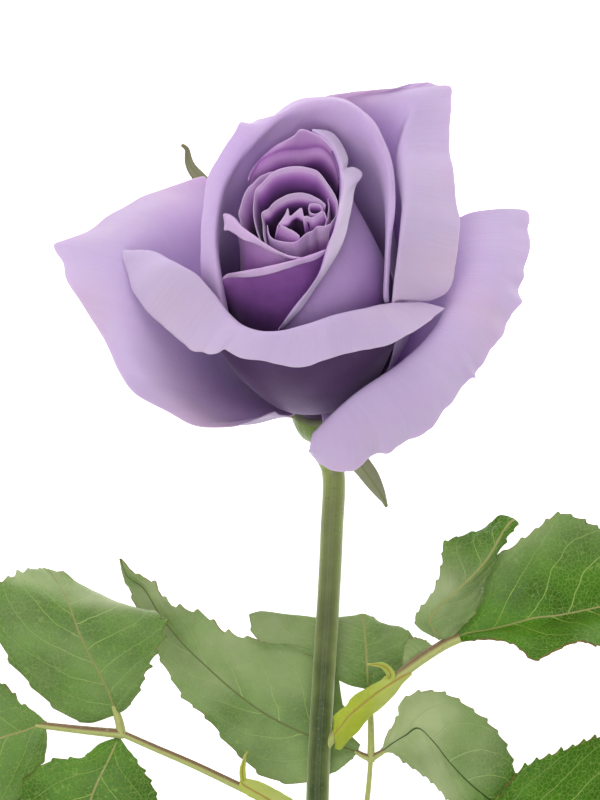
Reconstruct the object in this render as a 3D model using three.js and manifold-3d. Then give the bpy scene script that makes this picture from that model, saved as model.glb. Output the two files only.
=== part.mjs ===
// A cut rose lying on a table: one lavender bloom of the high-centred garden kind, its green calyx with
// five sepals, a slender stem with a slanting cut end, and three compound leaves with toothed leaflets.
//
// Millimetres. +Z is up from the table, +Y runs from the cut end towards the bloom, +X is to the right of
// somebody who looks down on it. The rose rests on two turned-back petals, on the tips of its lowest leaf
// and on its cut end, and the origin is on the table under the middle of its outline.
import * as THREE from "three";
import { mergeVertices } from "three/addons/utils/BufferGeometryUtils.js";
import Module from "manifold-3d";

// Driving dimensions
const PETAL_THICKNESS = 0.7;
const BLADE_THICKNESS = 0.6; // of a leaflet or a sepal
const STEM_RADIUS_TOP = 2.3; // under the bloom
const STEM_RADIUS_CUT = 2.9; // at the cut end
const STALK_RADII = [1.2, 0.95, 0.8]; // of a leaf's stalk, from the stem outwards
const BLOOM_BASE_HEIGHT = 30; // from the table to where the petals grow
const RIB_RADIUS = 0.5; // of the rib under a leaflet, at its base
const RIB_DROP = 0.25; // from the middle of the blade to the middle of the rib
const SEAT_GAP = 0.3; // between pieces that touch
const AXIS_LEAN = -4.2; // degrees that the bloom's axis leans to the left
const AXIS_RISE = 41; // degrees that the bloom's axis rises from the table

// Where the middle of the outline lies from the bloom's base
const OUTLINE_MIDDLE = new THREE.Vector2(-11.5, -68.2);

const wasm = await Module();
wasm.setup();

// The bloom's own frame: its axis points out of the flower, "across" to the right, "behind" to the table
const degrees = THREE.MathUtils.degToRad;
const bloomBase = new THREE.Vector3(0, 0, BLOOM_BASE_HEIGHT);
const bloomAxis = new THREE.Vector3(
  Math.sin(degrees(AXIS_LEAN)),
  Math.cos(degrees(AXIS_LEAN)) * Math.cos(degrees(AXIS_RISE)),
  Math.cos(degrees(AXIS_LEAN)) * Math.sin(degrees(AXIS_RISE)),
);
const bloomAcross = new THREE.Vector3(1, 0, 0)
  .addScaledVector(bloomAxis, -bloomAxis.x)
  .normalize();
const bloomBehind = new THREE.Vector3().crossVectors(bloomAxis, bloomAcross);

// A point of the bloom, from its azimuth (0 right, 90 behind, 180 left, 270 in front), its distance from
// the axis and its height up the axis.
function inBloom([azimuth, radius, height]) {
  return bloomBase
    .clone()
    .addScaledVector(bloomAxis, height)
    .addScaledVector(bloomAcross, radius * Math.cos(degrees(azimuth)))
    .addScaledVector(bloomBehind, radius * Math.sin(degrees(azimuth)));
}

const smooth = (points) => new THREE.CatmullRomCurve3(points, false, "centripetal");

// The surface through rows of guide points. u runs along a row by its length, s from the first row to
// the last.
function rowsSurface(rows) {
  const curves = rows.map((row) => smooth(row));
  return (u, s) => smooth(curves.map((curve) => curve.getPointAt(u))).getPoint(s);
}

function normalOf(surface, u, s) {
  const step = 0.004; // of the surface's own length
  const at = (a, b) => surface(THREE.MathUtils.clamp(a, 0, 1), THREE.MathUtils.clamp(b, 0, 1));
  const alongU = at(u + step, s).sub(at(u - step, s));
  const alongS = at(u, s + step).sub(at(u, s - step));
  return alongU.cross(alongS).normalize();
}

// The two faces of a sheet at one place, lifted where the lower one would be under the table.
function facesAt(surface, u, s, thickness) {
  const half = normalOf(surface, u, s).multiplyScalar(thickness / 2);
  const faces = [surface(u, s).add(half), surface(u, s).sub(half)];
  const lift = Math.max(0, -Math.min(faces[0].z, faces[1].z));
  faces.forEach((point) => (point.z += lift));
  return faces;
}

// A closed sheet of even thickness along a surface, with both faces split into triangles alike. The
// surface is cut at the s values in rows, and in each row at the u values that columnsOf gives for it.
function sheet(surface, rows, columnsOf, thickness) {
  const across = columnsOf(0).length;
  const faceSize = across * rows.length;
  const pairs = rows.flatMap((s, row) => columnsOf(row).map((u) => facesAt(surface, u, s, thickness)));
  const positions = [0, 1].flatMap((side) => pairs.flatMap((faces) => faces[side].toArray()));
  const triangles = [];
  const quad = (a, b, c, d) => triangles.push(a, b, c, a, c, d);
  for (let row = 0; row + 1 < rows.length; row++) {
    for (let column = 0; column + 1 < across; column++) {
      const corner = row * across + column;
      quad(corner, corner + 1, corner + across + 1, corner + across);
      const back = corner + faceSize;
      triangles.push(back, back + across + 1, back + 1, back, back + across, back + across + 1);
    }
  }
  const border = [];
  for (let column = 0; column < across - 1; column++) border.push(column);
  for (let row = 0; row < rows.length - 1; row++) border.push(row * across + across - 1);
  for (let column = across - 1; column > 0; column--) border.push(faceSize - across + column);
  for (let row = rows.length - 1; row > 0; row--) border.push(row * across);
  border.forEach((from, index) => {
    const to = border[(index + 1) % border.length];
    quad(from, from + faceSize, to + faceSize, to);
  });
  return closedGeometry(positions, triangles);
}

function closedGeometry(positions, triangles) {
  const geometry = new THREE.BufferGeometry();
  geometry.setAttribute("position", new THREE.Float32BufferAttribute(positions, 3));
  geometry.setIndex(triangles);
  return geometry;
}

// A closed three.js geometry as a solid that can be joined and cut, with its faces turned outwards.
function solidOf(geometry) {
  const bare = geometry.clone();
  bare.deleteAttribute("normal");
  bare.deleteAttribute("uv");
  const merged = mergeVertices(bare, 1e-4);
  const triVerts = new Uint32Array(merged.index.array);
  const make = () =>
    new wasm.Manifold(
      new wasm.Mesh({
        numProp: 3,
        vertProperties: new Float32Array(merged.attributes.position.array),
        triVerts,
      }),
    );
  const solid = make();
  if (solid.volume() > 0) return solid;
  for (let i = 0; i < triVerts.length; i += 3)
    [triVerts[i + 1], triVerts[i + 2]] = [triVerts[i + 2], triVerts[i + 1]];
  return make();
}

const joined = (solids) => solids.reduce((whole, solid) => whole.add(solid));

// A solid as a named mesh; a scrap that a cut left loose is dropped.
function meshOf(name, solid, material) {
  const whole = solid.decompose().reduce((a, b) => (b.volume() > a.volume() ? b : a));
  const { numProp, vertProperties, triVerts } = whole.getMesh();
  if (numProp !== 3) throw new Error(name + " has vertex properties besides its places");
  const geometry = new THREE.BufferGeometry();
  geometry.setAttribute("position", new THREE.BufferAttribute(vertProperties, 3));
  geometry.setIndex(new THREE.BufferAttribute(triVerts, 1));
  geometry.computeVertexNormals();
  const mesh = new THREE.Mesh(geometry, material);
  mesh.name = name;
  return mesh;
}

const evenly = (count, from = 0, to = 1) =>
  Array.from({ length: count + 1 }, (_, i) => from + ((to - from) * i) / count);

// A round rod along guide points, with its radii listed at even places from start to end.
function rod(points, radii, sides, steps) {
  const curve = smooth(points.map((point) => new THREE.Vector3(...point)));
  const radiusCurve = new THREE.SplineCurve(radii.map((radius, i) => new THREE.Vector2(i, radius)));
  const frames = curve.computeFrenetFrames(steps);
  const positions = [];
  evenly(steps).forEach((t, ring) => {
    const centre = curve.getPointAt(t);
    const radius = radiusCurve.getPoint(t).y;
    for (let side = 0; side < sides; side++) {
      const angle = (2 * Math.PI * side) / sides;
      const spoke = frames.normals[ring].clone().multiplyScalar(Math.cos(angle));
      spoke.addScaledVector(frames.binormals[ring], Math.sin(angle));
      positions.push(...centre.clone().addScaledVector(spoke, radius).toArray());
    }
  });
  const [startCentre, endCentre] = [(steps + 1) * sides, (steps + 1) * sides + 1];
  positions.push(...curve.getPoint(0).toArray(), ...curve.getPoint(1).toArray());
  const triangles = [];
  for (let side = 0; side < sides; side++) {
    const next = (side + 1) % sides;
    for (let ring = 0; ring < steps; ring++) {
      const [a, b] = [ring * sides + side, ring * sides + next];
      triangles.push(a, b, b + sides, a, b + sides, a + sides);
    }
    triangles.push(startCentre, next, side);
    triangles.push(endCentre, steps * sides + side, steps * sides + next);
  }
  return solidOf(closedGeometry(positions, triangles));
}

// A turned solid on the bloom's axis, from its [radius, height] profile
function turned(profile, sides) {
  const outline = profile.map(([radius, height]) => new THREE.Vector2(radius, height));
  const upright = new THREE.Matrix4().makeBasis(
    bloomAcross,
    bloomAxis,
    new THREE.Vector3().crossVectors(bloomAcross, bloomAxis),
  );
  return solidOf(new THREE.LatheGeometry(outline, sides).applyMatrix4(upright.setPosition(bloomBase)));
}

// Petals, as rows of guide points [azimuth, radius, height] from the claw to the rim
const CLAW_RADIUS = 3.5;
const CLAW_HEIGHT = 1;
const claw = (from, to) => evenly(2, from, to).map((azimuth) => [azimuth, CLAW_RADIUS, CLAW_HEIGHT]);

const OUTER_PETALS = {
  front: {
    rows: [
      claw(235, 305),
      [[213, 12.5, 9], [242, 14, 9.5], [270, 14, 9.5], [298, 14, 9.5], [325, 13, 9.5]],
      [[190, 21, 27], [226, 21.8, 25], [258, 22, 24], [290, 22, 25], [322, 21.5, 26]],
      [
        [176, 28, 38.5], [195, 24.5, 41], [205, 23, 40.4], [222, 22.5, 36.6], [240, 23, 36.6],
        [258, 23.3, 38.2], [290, 22, 40], [320, 20.8, 35.5], [338, 22.5, 31],
      ],
      [
        [168, 37.5, 36], [182, 32.5, 30.6], [222, 29.5, 32.5], [240, 26.5, 35], [268, 29.3, 33.7],
        [289, 29.1, 34.8], [317, 28.5, 31.2], [347, 27, 28],
      ],
    ],
    columns: 12,
    steps: 10,
  },
  left: {
    rows: [
      claw(150, 220),
      [[135, 14, 10], [160, 16, 9], [190, 16.5, 8.5], [220, 16, 8], [243, 12, 5.5]],
      [[129, 24, 26], [150, 26, 26], [175, 26.5, 24], [208, 26, 16], [236, 21, 9.5]],
      [[127, 29, 34], [147, 33, 37], [170, 37, 34], [203, 35, 25], [232, 27, 15]],
      [
        [127.6, 32.3, 38.5], [148.6, 40.7, 36], [163.7, 52.3, 32.8], [172, 48.5, 31.5],
        [190, 43, 28.3], [212.5, 40.4, 23.3], [226.3, 36.6, 18.7], [235.4, 29.6, 15.9],
        [243, 18.4, 12.3],
      ],
    ],
    columns: 12,
    steps: 9,
  },
  right: {
    rows: [
      claw(-80, 10),
      [[-84, 12, 4.5], [-60, 14.5, 8], [-35, 15.5, 9], [-8, 16, 9.5], [18, 15.5, 10]],
      [[-88, 20, 9.5], [-65, 21, 15], [-40, 23, 17.5], [-12, 24.5, 18.5], [24, 25, 20]],
      [
        [-89, 24.5, 12.9], [-69, 24.8, 21.5], [-44, 25.5, 24.6], [-20, 27, 26], [-1, 29, 27.6],
        [15, 31, 30], [28, 34, 32],
      ],
      [
        [-90, 27, 10.8], [-72, 28.5, 14], [-50, 30.5, 18.5], [-24, 32.5, 22.5], [2, 37, 27],
        [16, 39.5, 29.5], [27, 42, 31.5],
      ],
      [
        [-91, 24.2, 8.8], [-78, 27.1, 5.7], [-62, 29, 7.7], [-45.5, 32.4, 11.4],
        [-26.7, 35.6, 17.4], [-13.8, 37.3, 20.5], [4.3, 42.6, 23.4], [18.7, 47.2, 26.2],
        [26.5, 49.6, 28.2],
      ],
    ],
    columns: 12,
    steps: 10,
  },
  right_back: {
    rows: [
      claw(-10, 80),
      [[-30, 14, 9], [0, 15.2, 10], [30, 15.5, 10.5], [65, 15.5, 10.5], [95, 15, 10]],
      [
        [-36, 20.5, 24], [-10, 21.5, 27], [20, 22.5, 29], [48, 24, 31], [75, 24, 31],
        [100, 23.5, 30],
      ],
      [
        [-35, 20.8, 34.5], [-14, 19.8, 45.5], [8, 20.4, 49], [39, 25.4, 51], [48, 33, 55],
        [62, 28.5, 54.5], [80, 25.5, 53], [100, 24.5, 49],
      ],
      [
        [-25, 25.5, 30], [-12, 29.2, 34], [9, 31.6, 42], [32, 35.7, 47], [49.5, 46, 50],
        [55, 40, 55], [64, 31, 57], [80, 27, 57], [100, 25.5, 53],
      ],
    ],
    columns: 12,
    steps: 10,
  },
  back_right: {
    rows: [
      claw(25, 90),
      [[22, 17, 6.5], [48, 18, 6], [76, 18, 6], [101, 16, 6]],
      [[20, 31, 14], [48, 35, 12], [76, 35, 12], [104, 29, 13]],
      [[22, 40, 18], [46, 48, 12], [64, 52, 9.5], [80, 48, 11], [104, 38, 15]],
      [[27, 45, 14], [44, 56, 6], [60, 61, 3], [78, 56, 3], [101, 43, 11]],
    ],
    columns: 9,
    steps: 8,
  },
  back_left: {
    rows: [
      claw(132, 190),
      [[128, 17, 5.5], [144, 18, 5], [166, 18, 4.5], [192, 17, 4.5]],
      [[115, 31, 12], [138, 33, 11], [163, 31, 10.5], [190, 27, 10]],
      [[110, 43, 14], [124, 50, 10], [140, 46, 11], [162, 40, 13], [188, 34, 13.5]],
      [[110, 54, 6], [121, 60, 3], [138, 56, 5], [160, 46, 8.5], [183, 37, 11]],
    ],
    columns: 9,
    steps: 8,
  },
  hood: {
    rows: [
      claw(30, 170),
      [
        [205, 13, 10], [165, 13.3, 10], [125, 13.5, 10], [85, 13.5, 10], [45, 13.3, 10],
        [5, 12.5, 10],
      ],
      [
        [211, 19, 24], [175, 18.6, 26], [135, 19.5, 28], [95, 20, 28], [60, 19.8, 28],
        [25, 18.8, 28], [-10, 17.6, 27],
      ],
      [
        [213, 19.2, 29.5], [178, 17.4, 40], [140, 18.6, 49], [106, 19.4, 53.5], [73, 20.2, 54.5],
        [45, 19.2, 52.5], [20, 18, 46.5], [-14, 17, 38],
      ],
      [
        [213, 20.4, 32], [196, 20.5, 37.5], [172, 20.6, 45], [139, 21.6, 54], [106, 21.8, 58.5],
        [73, 23, 59.5], [50, 21.8, 57], [32, 20.4, 53], [15, 18.6, 48.5], [-16, 17, 41],
      ],
    ],
    columns: 16,
    steps: 9,
  },
};

const INNER_PETALS = {
  wrap_right: {
    rows: [
      claw(80, -80),
      [[78, 11, 10], [40, 11.6, 10], [0, 12, 10], [-40, 12.2, 10], [-85, 12, 9.5]],
      [
        [74, 15.2, 28], [37, 15.8, 28], [0, 16.3, 28], [-38, 16.6, 28], [-76, 17, 27.5],
        [-107, 17.4, 26],
      ],
      [
        [72, 14.6, 44], [36, 14.6, 43], [0, 14.4, 42.5], [-38, 14.8, 42], [-74, 16.4, 39],
        [-106, 18.4, 32.5],
      ],
      [
        [68, 12.8, 57.4], [48, 12, 55], [26, 10.6, 53.5], [4, 9.6, 52.4], [-25, 9.5, 51.4],
        [-52, 11.6, 50], [-73, 13.8, 47.5], [-94, 16.6, 41.5], [-106, 18.6, 36],
      ],
      [
        [68, 15, 57], [54, 15.2, 54.2], [42, 13.2, 51.6], [35, 14.6, 50.4], [6, 11.4, 50.6],
        [-25, 10.9, 50.2], [-52, 13, 49], [-72, 15.2, 46.8], [-93, 17.6, 41], [-106, 19.4, 35.4],
      ],
    ],
    columns: 12,
    steps: 9,
  },
  front_inner: {
    rows: [
      claw(205, 305),
      [[203, 10.4, 9], [236, 10.8, 9], [270, 10.8, 9], [304, 10.4, 9]],
      [[200, 15.4, 26], [234, 15.2, 26], [268, 14.8, 26], [303, 14, 26]],
      [[200, 16, 33.5], [220, 14.6, 38.5], [244, 12.8, 41.5], [270, 11.8, 42.5], [304, 11, 43]],
      [[200, 17.4, 35], [207, 16, 39.5], [237, 13.4, 43.4], [267, 12, 45.2], [304, 10.8, 46.6]],
    ],
    columns: 10,
    steps: 7,
  },
  left_inner: {
    rows: [
      claw(165, 290),
      [[162, 9.6, 9], [200, 9.8, 9], [245, 9.8, 9], [290, 9.6, 9]],
      [[162, 13.4, 28], [200, 12.8, 28], [245, 12.3, 28], [292, 11.8, 28]],
      [[164, 13.4, 41], [192, 11.4, 41.5], [245, 10.2, 41], [293, 10, 41]],
      [
        [167, 15.4, 46], [180, 12, 46.6], [198, 10.4, 46.3], [220, 9.5, 46], [247, 9.3, 45.6],
        [273, 9.5, 45.3], [294, 9.6, 45.8],
      ],
    ],
    columns: 9,
    steps: 7,
  },
  crown: {
    rows: [
      claw(60, 130),
      [[62, 9.6, 9.5], [85, 10, 9.5], [108, 10, 9.5], [132, 9.8, 9.5]],
      [[62, 13.2, 30], [85, 13.8, 30], [108, 14.2, 30], [134, 14.2, 30]],
      [[62, 11.8, 49], [82, 12.6, 50], [104, 13, 48.5], [132, 14, 43.5]],
      [
        [64, 11.6, 55.4], [74, 13.6, 56.6], [84, 14.6, 58], [100, 14, 55.4], [115, 14.8, 52],
        [130, 16, 47.4],
      ],
    ],
    columns: 7,
    steps: 7,
  },
  left_back_inner: {
    rows: [
      claw(95, 170),
      [[96, 8.4, 9.5], [135, 8.8, 9.5], [176, 8.8, 9.5]],
      [[96, 11.2, 30], [135, 12, 30], [176, 12, 30]],
      [[98, 10.2, 45], [135, 11.8, 43.5], [174, 11.6, 40.5]],
      [[100, 10.4, 51.4], [124, 11.8, 51], [141, 13, 49], [157, 13, 46.6], [173, 12, 43.4]],
    ],
    columns: 6,
    steps: 6,
  },
};

// The rings of the heart, each a cupped petal by one rule: from and to are its azimuths, radius and
// height list its rim at five even places, and lean is how far the rim stands out from the wall below it
const RINGS = {
  ring_left: {
    from: 232,
    to: 140,
    radius: [8.4, 9.2, 9.6, 9.6, 9.2],
    height: [46.6, 48.6, 50.4, 51.6, 52.4],
    lean: 0.4,
  },
  ring_back: {
    from: 156,
    to: -18,
    radius: [8.4, 7.6, 7.3, 7.5, 7.7],
    height: [52.6, 54.6, 55, 53, 49.4],
    lean: 1.1,
  },
  ring_front_right: {
    from: 352,
    to: 262,
    radius: [7.2, 6.2, 5.9, 6.2, 7],
    height: [49, 48.4, 48.2, 47.6, 46.4],
    lean: 0.3,
  },
  ring_front_left: {
    from: 276,
    to: 196,
    radius: [7.6, 7.8, 7.8, 7.2, 6.4],
    height: [46.4, 47, 47.6, 48.2, 48.8],
    lean: 0.2,
  },
  inner_back: {
    from: 222,
    to: -30,
    radius: [6.6, 5.6, 5, 4.8, 5],
    height: [47.4, 50, 49.6, 49.4, 47.6],
    lean: 0.8,
  },
  curl_front: {
    from: 282,
    to: 196,
    radius: [3.4, 4, 4.4, 4.4, 4.2],
    height: [46.6, 47.2, 47.8, 48.2, 48.4],
    lean: 0,
  },
  curl_right: {
    from: 60,
    to: -60,
    radius: [3.2, 3.4, 3.6, 3.6, 3.4],
    height: [49.6, 49.8, 49.6, 49, 48],
    lean: 0,
  },
  curl_left: {
    from: 170,
    to: 80,
    radius: [2.6, 2.8, 2.8, 2.6, 2.4],
    height: [49, 48.8, 48.6, 48.8, 49],
    lean: 0.3,
  },
};
const RING_FOOT = { radius: 0.72, height: 24 }; // the foot's radius as a share of the rim's
const RING_WALL = { radius: 1, height: 40 };
const RING_CUTS = { columns: 6, steps: 4 };

function ringRows({ from, to, radius, height, lean }) {
  const azimuths = evenly(radius.length - 1, from, to);
  const row = (share, inset, heightOf) =>
    azimuths.map((azimuth, i) => [azimuth, (radius[i] - inset) * share, heightOf(i)]);
  return [
    row(RING_FOOT.radius, 0, () => RING_FOOT.height),
    row(RING_WALL.radius, lean, () => RING_WALL.height),
    row(1, 0, (i) => height[i]),
  ];
}

function petal(rows, columns, steps) {
  const surface = rowsSurface(rows.map((row) => row.map(inBloom)));
  return solidOf(sheet(surface, evenly(steps), () => evenly(columns), PETAL_THICKNESS));
}

// The receptacle and the packed heart, a turned core that the petals stand out of
const CORE_PROFILE = [
  [0, -1], [4.4, -1], [5.4, 1], [6, 5], [7.4, 12], [8.2, 22], [7.6, 32], [5.6, 40], [3, 43],
  [0, 43.6],
];

function bloom() {
  const nets = [...Object.values(OUTER_PETALS), ...Object.values(INNER_PETALS)];
  const solids = nets.map((net) => petal(net.rows, net.columns, net.steps));
  const { columns, steps } = RING_CUTS;
  const rings = Object.values(RINGS).map((ring) => petal(ringRows(ring), columns, steps));
  return joined([turned(CORE_PROFILE, 16), ...solids, ...rings]);
}

// A toothed or plain blade that grows along a rib. up is the way its face looks, fold is how far each half
// rises from it, curl how far its edges drop again, and wave how far they ripple, in shares of halfWidth.
const BLADE_DEFAULTS = {
  up: [0, 0, 1],
  leftShare: 1, // the width of the half on the left of the rib, as a share of the other's
  fold: 12,
  curl: 0.12,
  wave: 0.05,
  waves: 3,
  phase: 0,
  teeth: 7,
  widest: 0.42,
};
const TOOTH_DEPTH = 0.08; // of the half width
const TOOTH_BACK = 0.72; // share of a tooth's length that its back edge takes
const TEETH_START = 0.09; // along the blade
const TEETH_END = 0.98;
const TIP_HALF_WIDTH = 0.3;
const OUTLINE_POWER = 0.85; // under 1 gives a blade full shoulders
const WAVE_SLANT = 1.3; // radians by which the ripple of one edge is ahead of the rib's
const BLADE_COLUMNS = [0.25, 0.5, 0.75]; // between its two edges

// How wide a blade is at s, as a share of its half width
function bladeOutline(s, widest) {
  const bent = s ** (Math.log(0.5) / Math.log(widest));
  return Math.sin(Math.PI * bent) ** OUTLINE_POWER;
}

function bladeSurface(blade) {
  const { rib, up, halfWidth, leftShare, fold, curl, wave, waves, phase, widest } = blade;
  const curve = smooth(rib.map((point) => new THREE.Vector3(...point)));
  const face = new THREE.Vector3(...up).normalize();
  return (u, s) => {
    const share = 2 * u - 1;
    const along = curve.getTangentAt(s);
    const across = new THREE.Vector3().crossVectors(along, face).normalize();
    const upward = new THREE.Vector3().crossVectors(across, along);
    const fullest = halfWidth * (share < 0 ? leftShare : 1);
    const reach = Math.abs(share) * Math.max(TIP_HALF_WIDTH, fullest * bladeOutline(s, widest));
    const turn = 2 * Math.PI * waves * s + phase + WAVE_SLANT * share;
    const ripple = wave * halfWidth * share * share * Math.sin(turn);
    const rise = reach * Math.sin(degrees(fold)) - curl * reach * Math.abs(share) + ripple;
    return curve
      .getPointAt(s)
      .addScaledVector(across, Math.sign(share) * reach * Math.cos(degrees(fold)))
      .addScaledVector(upward, rise);
  };
}

// Where a blade is cut into rows. A tooth has a long back edge and a short front one.
function bladeRows({ teeth, toothless }) {
  if (toothless) return evenly(teeth).map((s) => ({ s, inset: 0 }));
  const spacing = (TEETH_END - TEETH_START) / teeth;
  const toothed = evenly(teeth - 1, TEETH_START, TEETH_END - spacing).flatMap((s) => [
    { s, inset: TOOTH_DEPTH / 2 },
    { s: s + TOOTH_BACK * spacing, inset: 0 },
  ]);
  return [{ s: 0, inset: 0 }, { s: TEETH_START / 2, inset: 0 }, ...toothed, { s: 1, inset: 0 }];
}

// The rib under a blade, as a slim rod that stays above the table
function ribRod({ rib, up }) {
  const drop = new THREE.Vector3(...up).normalize().multiplyScalar(-RIB_DROP);
  const path = rib.map((point) => {
    const place = new THREE.Vector3(...point).add(drop);
    return [place.x, place.y, Math.max(place.z, RIB_RADIUS)];
  });
  return rod(path, [RIB_RADIUS, 0.8 * RIB_RADIUS, 0.5 * RIB_RADIUS], 4, 4);
}

function bladeSolid(description) {
  const blade = { ...BLADE_DEFAULTS, ...description };
  const rows = bladeRows(blade);
  const columnsOf = (row) => [rows[row].inset, ...BLADE_COLUMNS, 1 - rows[row].inset];
  const placesOf = rows.map(({ s }) => s);
  return solidOf(sheet(bladeSurface(blade), placesOf, columnsOf, BLADE_THICKNESS));
}

// A leaflet: a toothed blade with its rib
function leaflet(description) {
  const blade = { ...BLADE_DEFAULTS, ...description };
  return bladeSolid(blade).add(ribRod(blade));
}

// Calyx: the hip under the petals, and five sepals. Places are [azimuth, radius, height] in the bloom.
const HIP_PROFILE = [
  [0, -10], [2.1, -10], [2.6, -9.2], [4.2, -7.4], [5.3, -4.8], [5.6, -2.6], [5.4, -1.3], [0, -1.3],
];
const SEPALS = {
  raised: {
    path: [
      [114, 3, -3], [114, 8, -2.8], [114, 12.6, 1.8], [116, 17.6, 11.4], [117, 24, 21.5],
      [119, 30.5, 29.5], [122, 36.5, 35.5], [125.5, 41, 39.5],
    ],
    halfWidth: 3,
  },
  under_right: {
    path: [[42, 3, -2.9], [42, 10, -1], [42, 18, 0.5], [42, 26, 3], [44, 33, 4]],
    halfWidth: 3,
  },
  hanging: {
    path: [[-38, 3, -2.9], [-38, 9, -2.4], [-38, 14.5, -6.5], [-38, 16.5, -13], [-37, 15.8, -19.8]],
    halfWidth: 2.8,
  },
  front: {
    path: [[-78, 3, -2.9], [-78, 8, -3.6], [-78, 11, -6], [-78, 11.6, -10]],
    halfWidth: 2.4,
  },
  under_left: {
    path: [[190, 3, -2.9], [190, 9.5, -1.8], [190, 15.5, -1.4], [190, 21, -2], [190, 26, -3.4]],
    halfWidth: 2.8,
  },
};

const SEPAL_BLADE = { fold: -14, curl: 0, wave: 0.08, teeth: 5, widest: 0.3, toothless: true };
const SEPAL_TURN = 12; // how far down the axis its outer face looks

function calyx() {
  const sepals = Object.values(SEPALS).map(({ path, halfWidth }) => {
    const [azimuth, radius] = path[2];
    const outward = inBloom([azimuth, radius, -SEPAL_TURN]).sub(inBloom([azimuth, 0, 0]));
    return bladeSolid({
      rib: path.map((place) => inBloom(place).toArray()),
      up: outward.toArray(),
      halfWidth,
      ...SEPAL_BLADE,
    });
  });
  return joined([turned(HIP_PROFILE, 20), ...sepals]);
}

// Stem, from under the hip to the cut end
const HIP_FOOT = -10;
const underHip = [-SEAT_GAP, -2.4].map((below) => inBloom([0, 0, HIP_FOOT + below]).toArray());
const STEM_PATH = [
  ...underHip, [3, -13.6, 19.6], [2.8, -27, 16.4], [2.2, -40, 14.4], [1, -60, 12.4],
  [0, -80, 10.8], [-0.2, -110, 8.9], [0.4, -140, 7], [1.6, -170, 4.8], [3, -203, 2.6],
];
const STEM_CUTS = { sides: 12, steps: 24 };
const CUT_END = [3, -198, 3]; // a place on the slanting cut
const CUT_SLANT = 40; // degrees from square
const KNIFE = 20;

function stemRod(extra) {
  const middle = (STEM_RADIUS_TOP + STEM_RADIUS_CUT) / 2;
  const radii = [STEM_RADIUS_TOP, STEM_RADIUS_TOP, middle, STEM_RADIUS_CUT].map((radius) => radius + extra);
  return rod(STEM_PATH, radii, STEM_CUTS.sides, STEM_CUTS.steps);
}

function stem() {
  const knife = new THREE.BoxGeometry(KNIFE, KNIFE, KNIFE)
    .translate(0, -KNIFE / 2, 0)
    .rotateZ(degrees(CUT_SLANT))
    .translate(...CUT_END);
  return stemRod(0).subtract(solidOf(knife));
}

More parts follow.
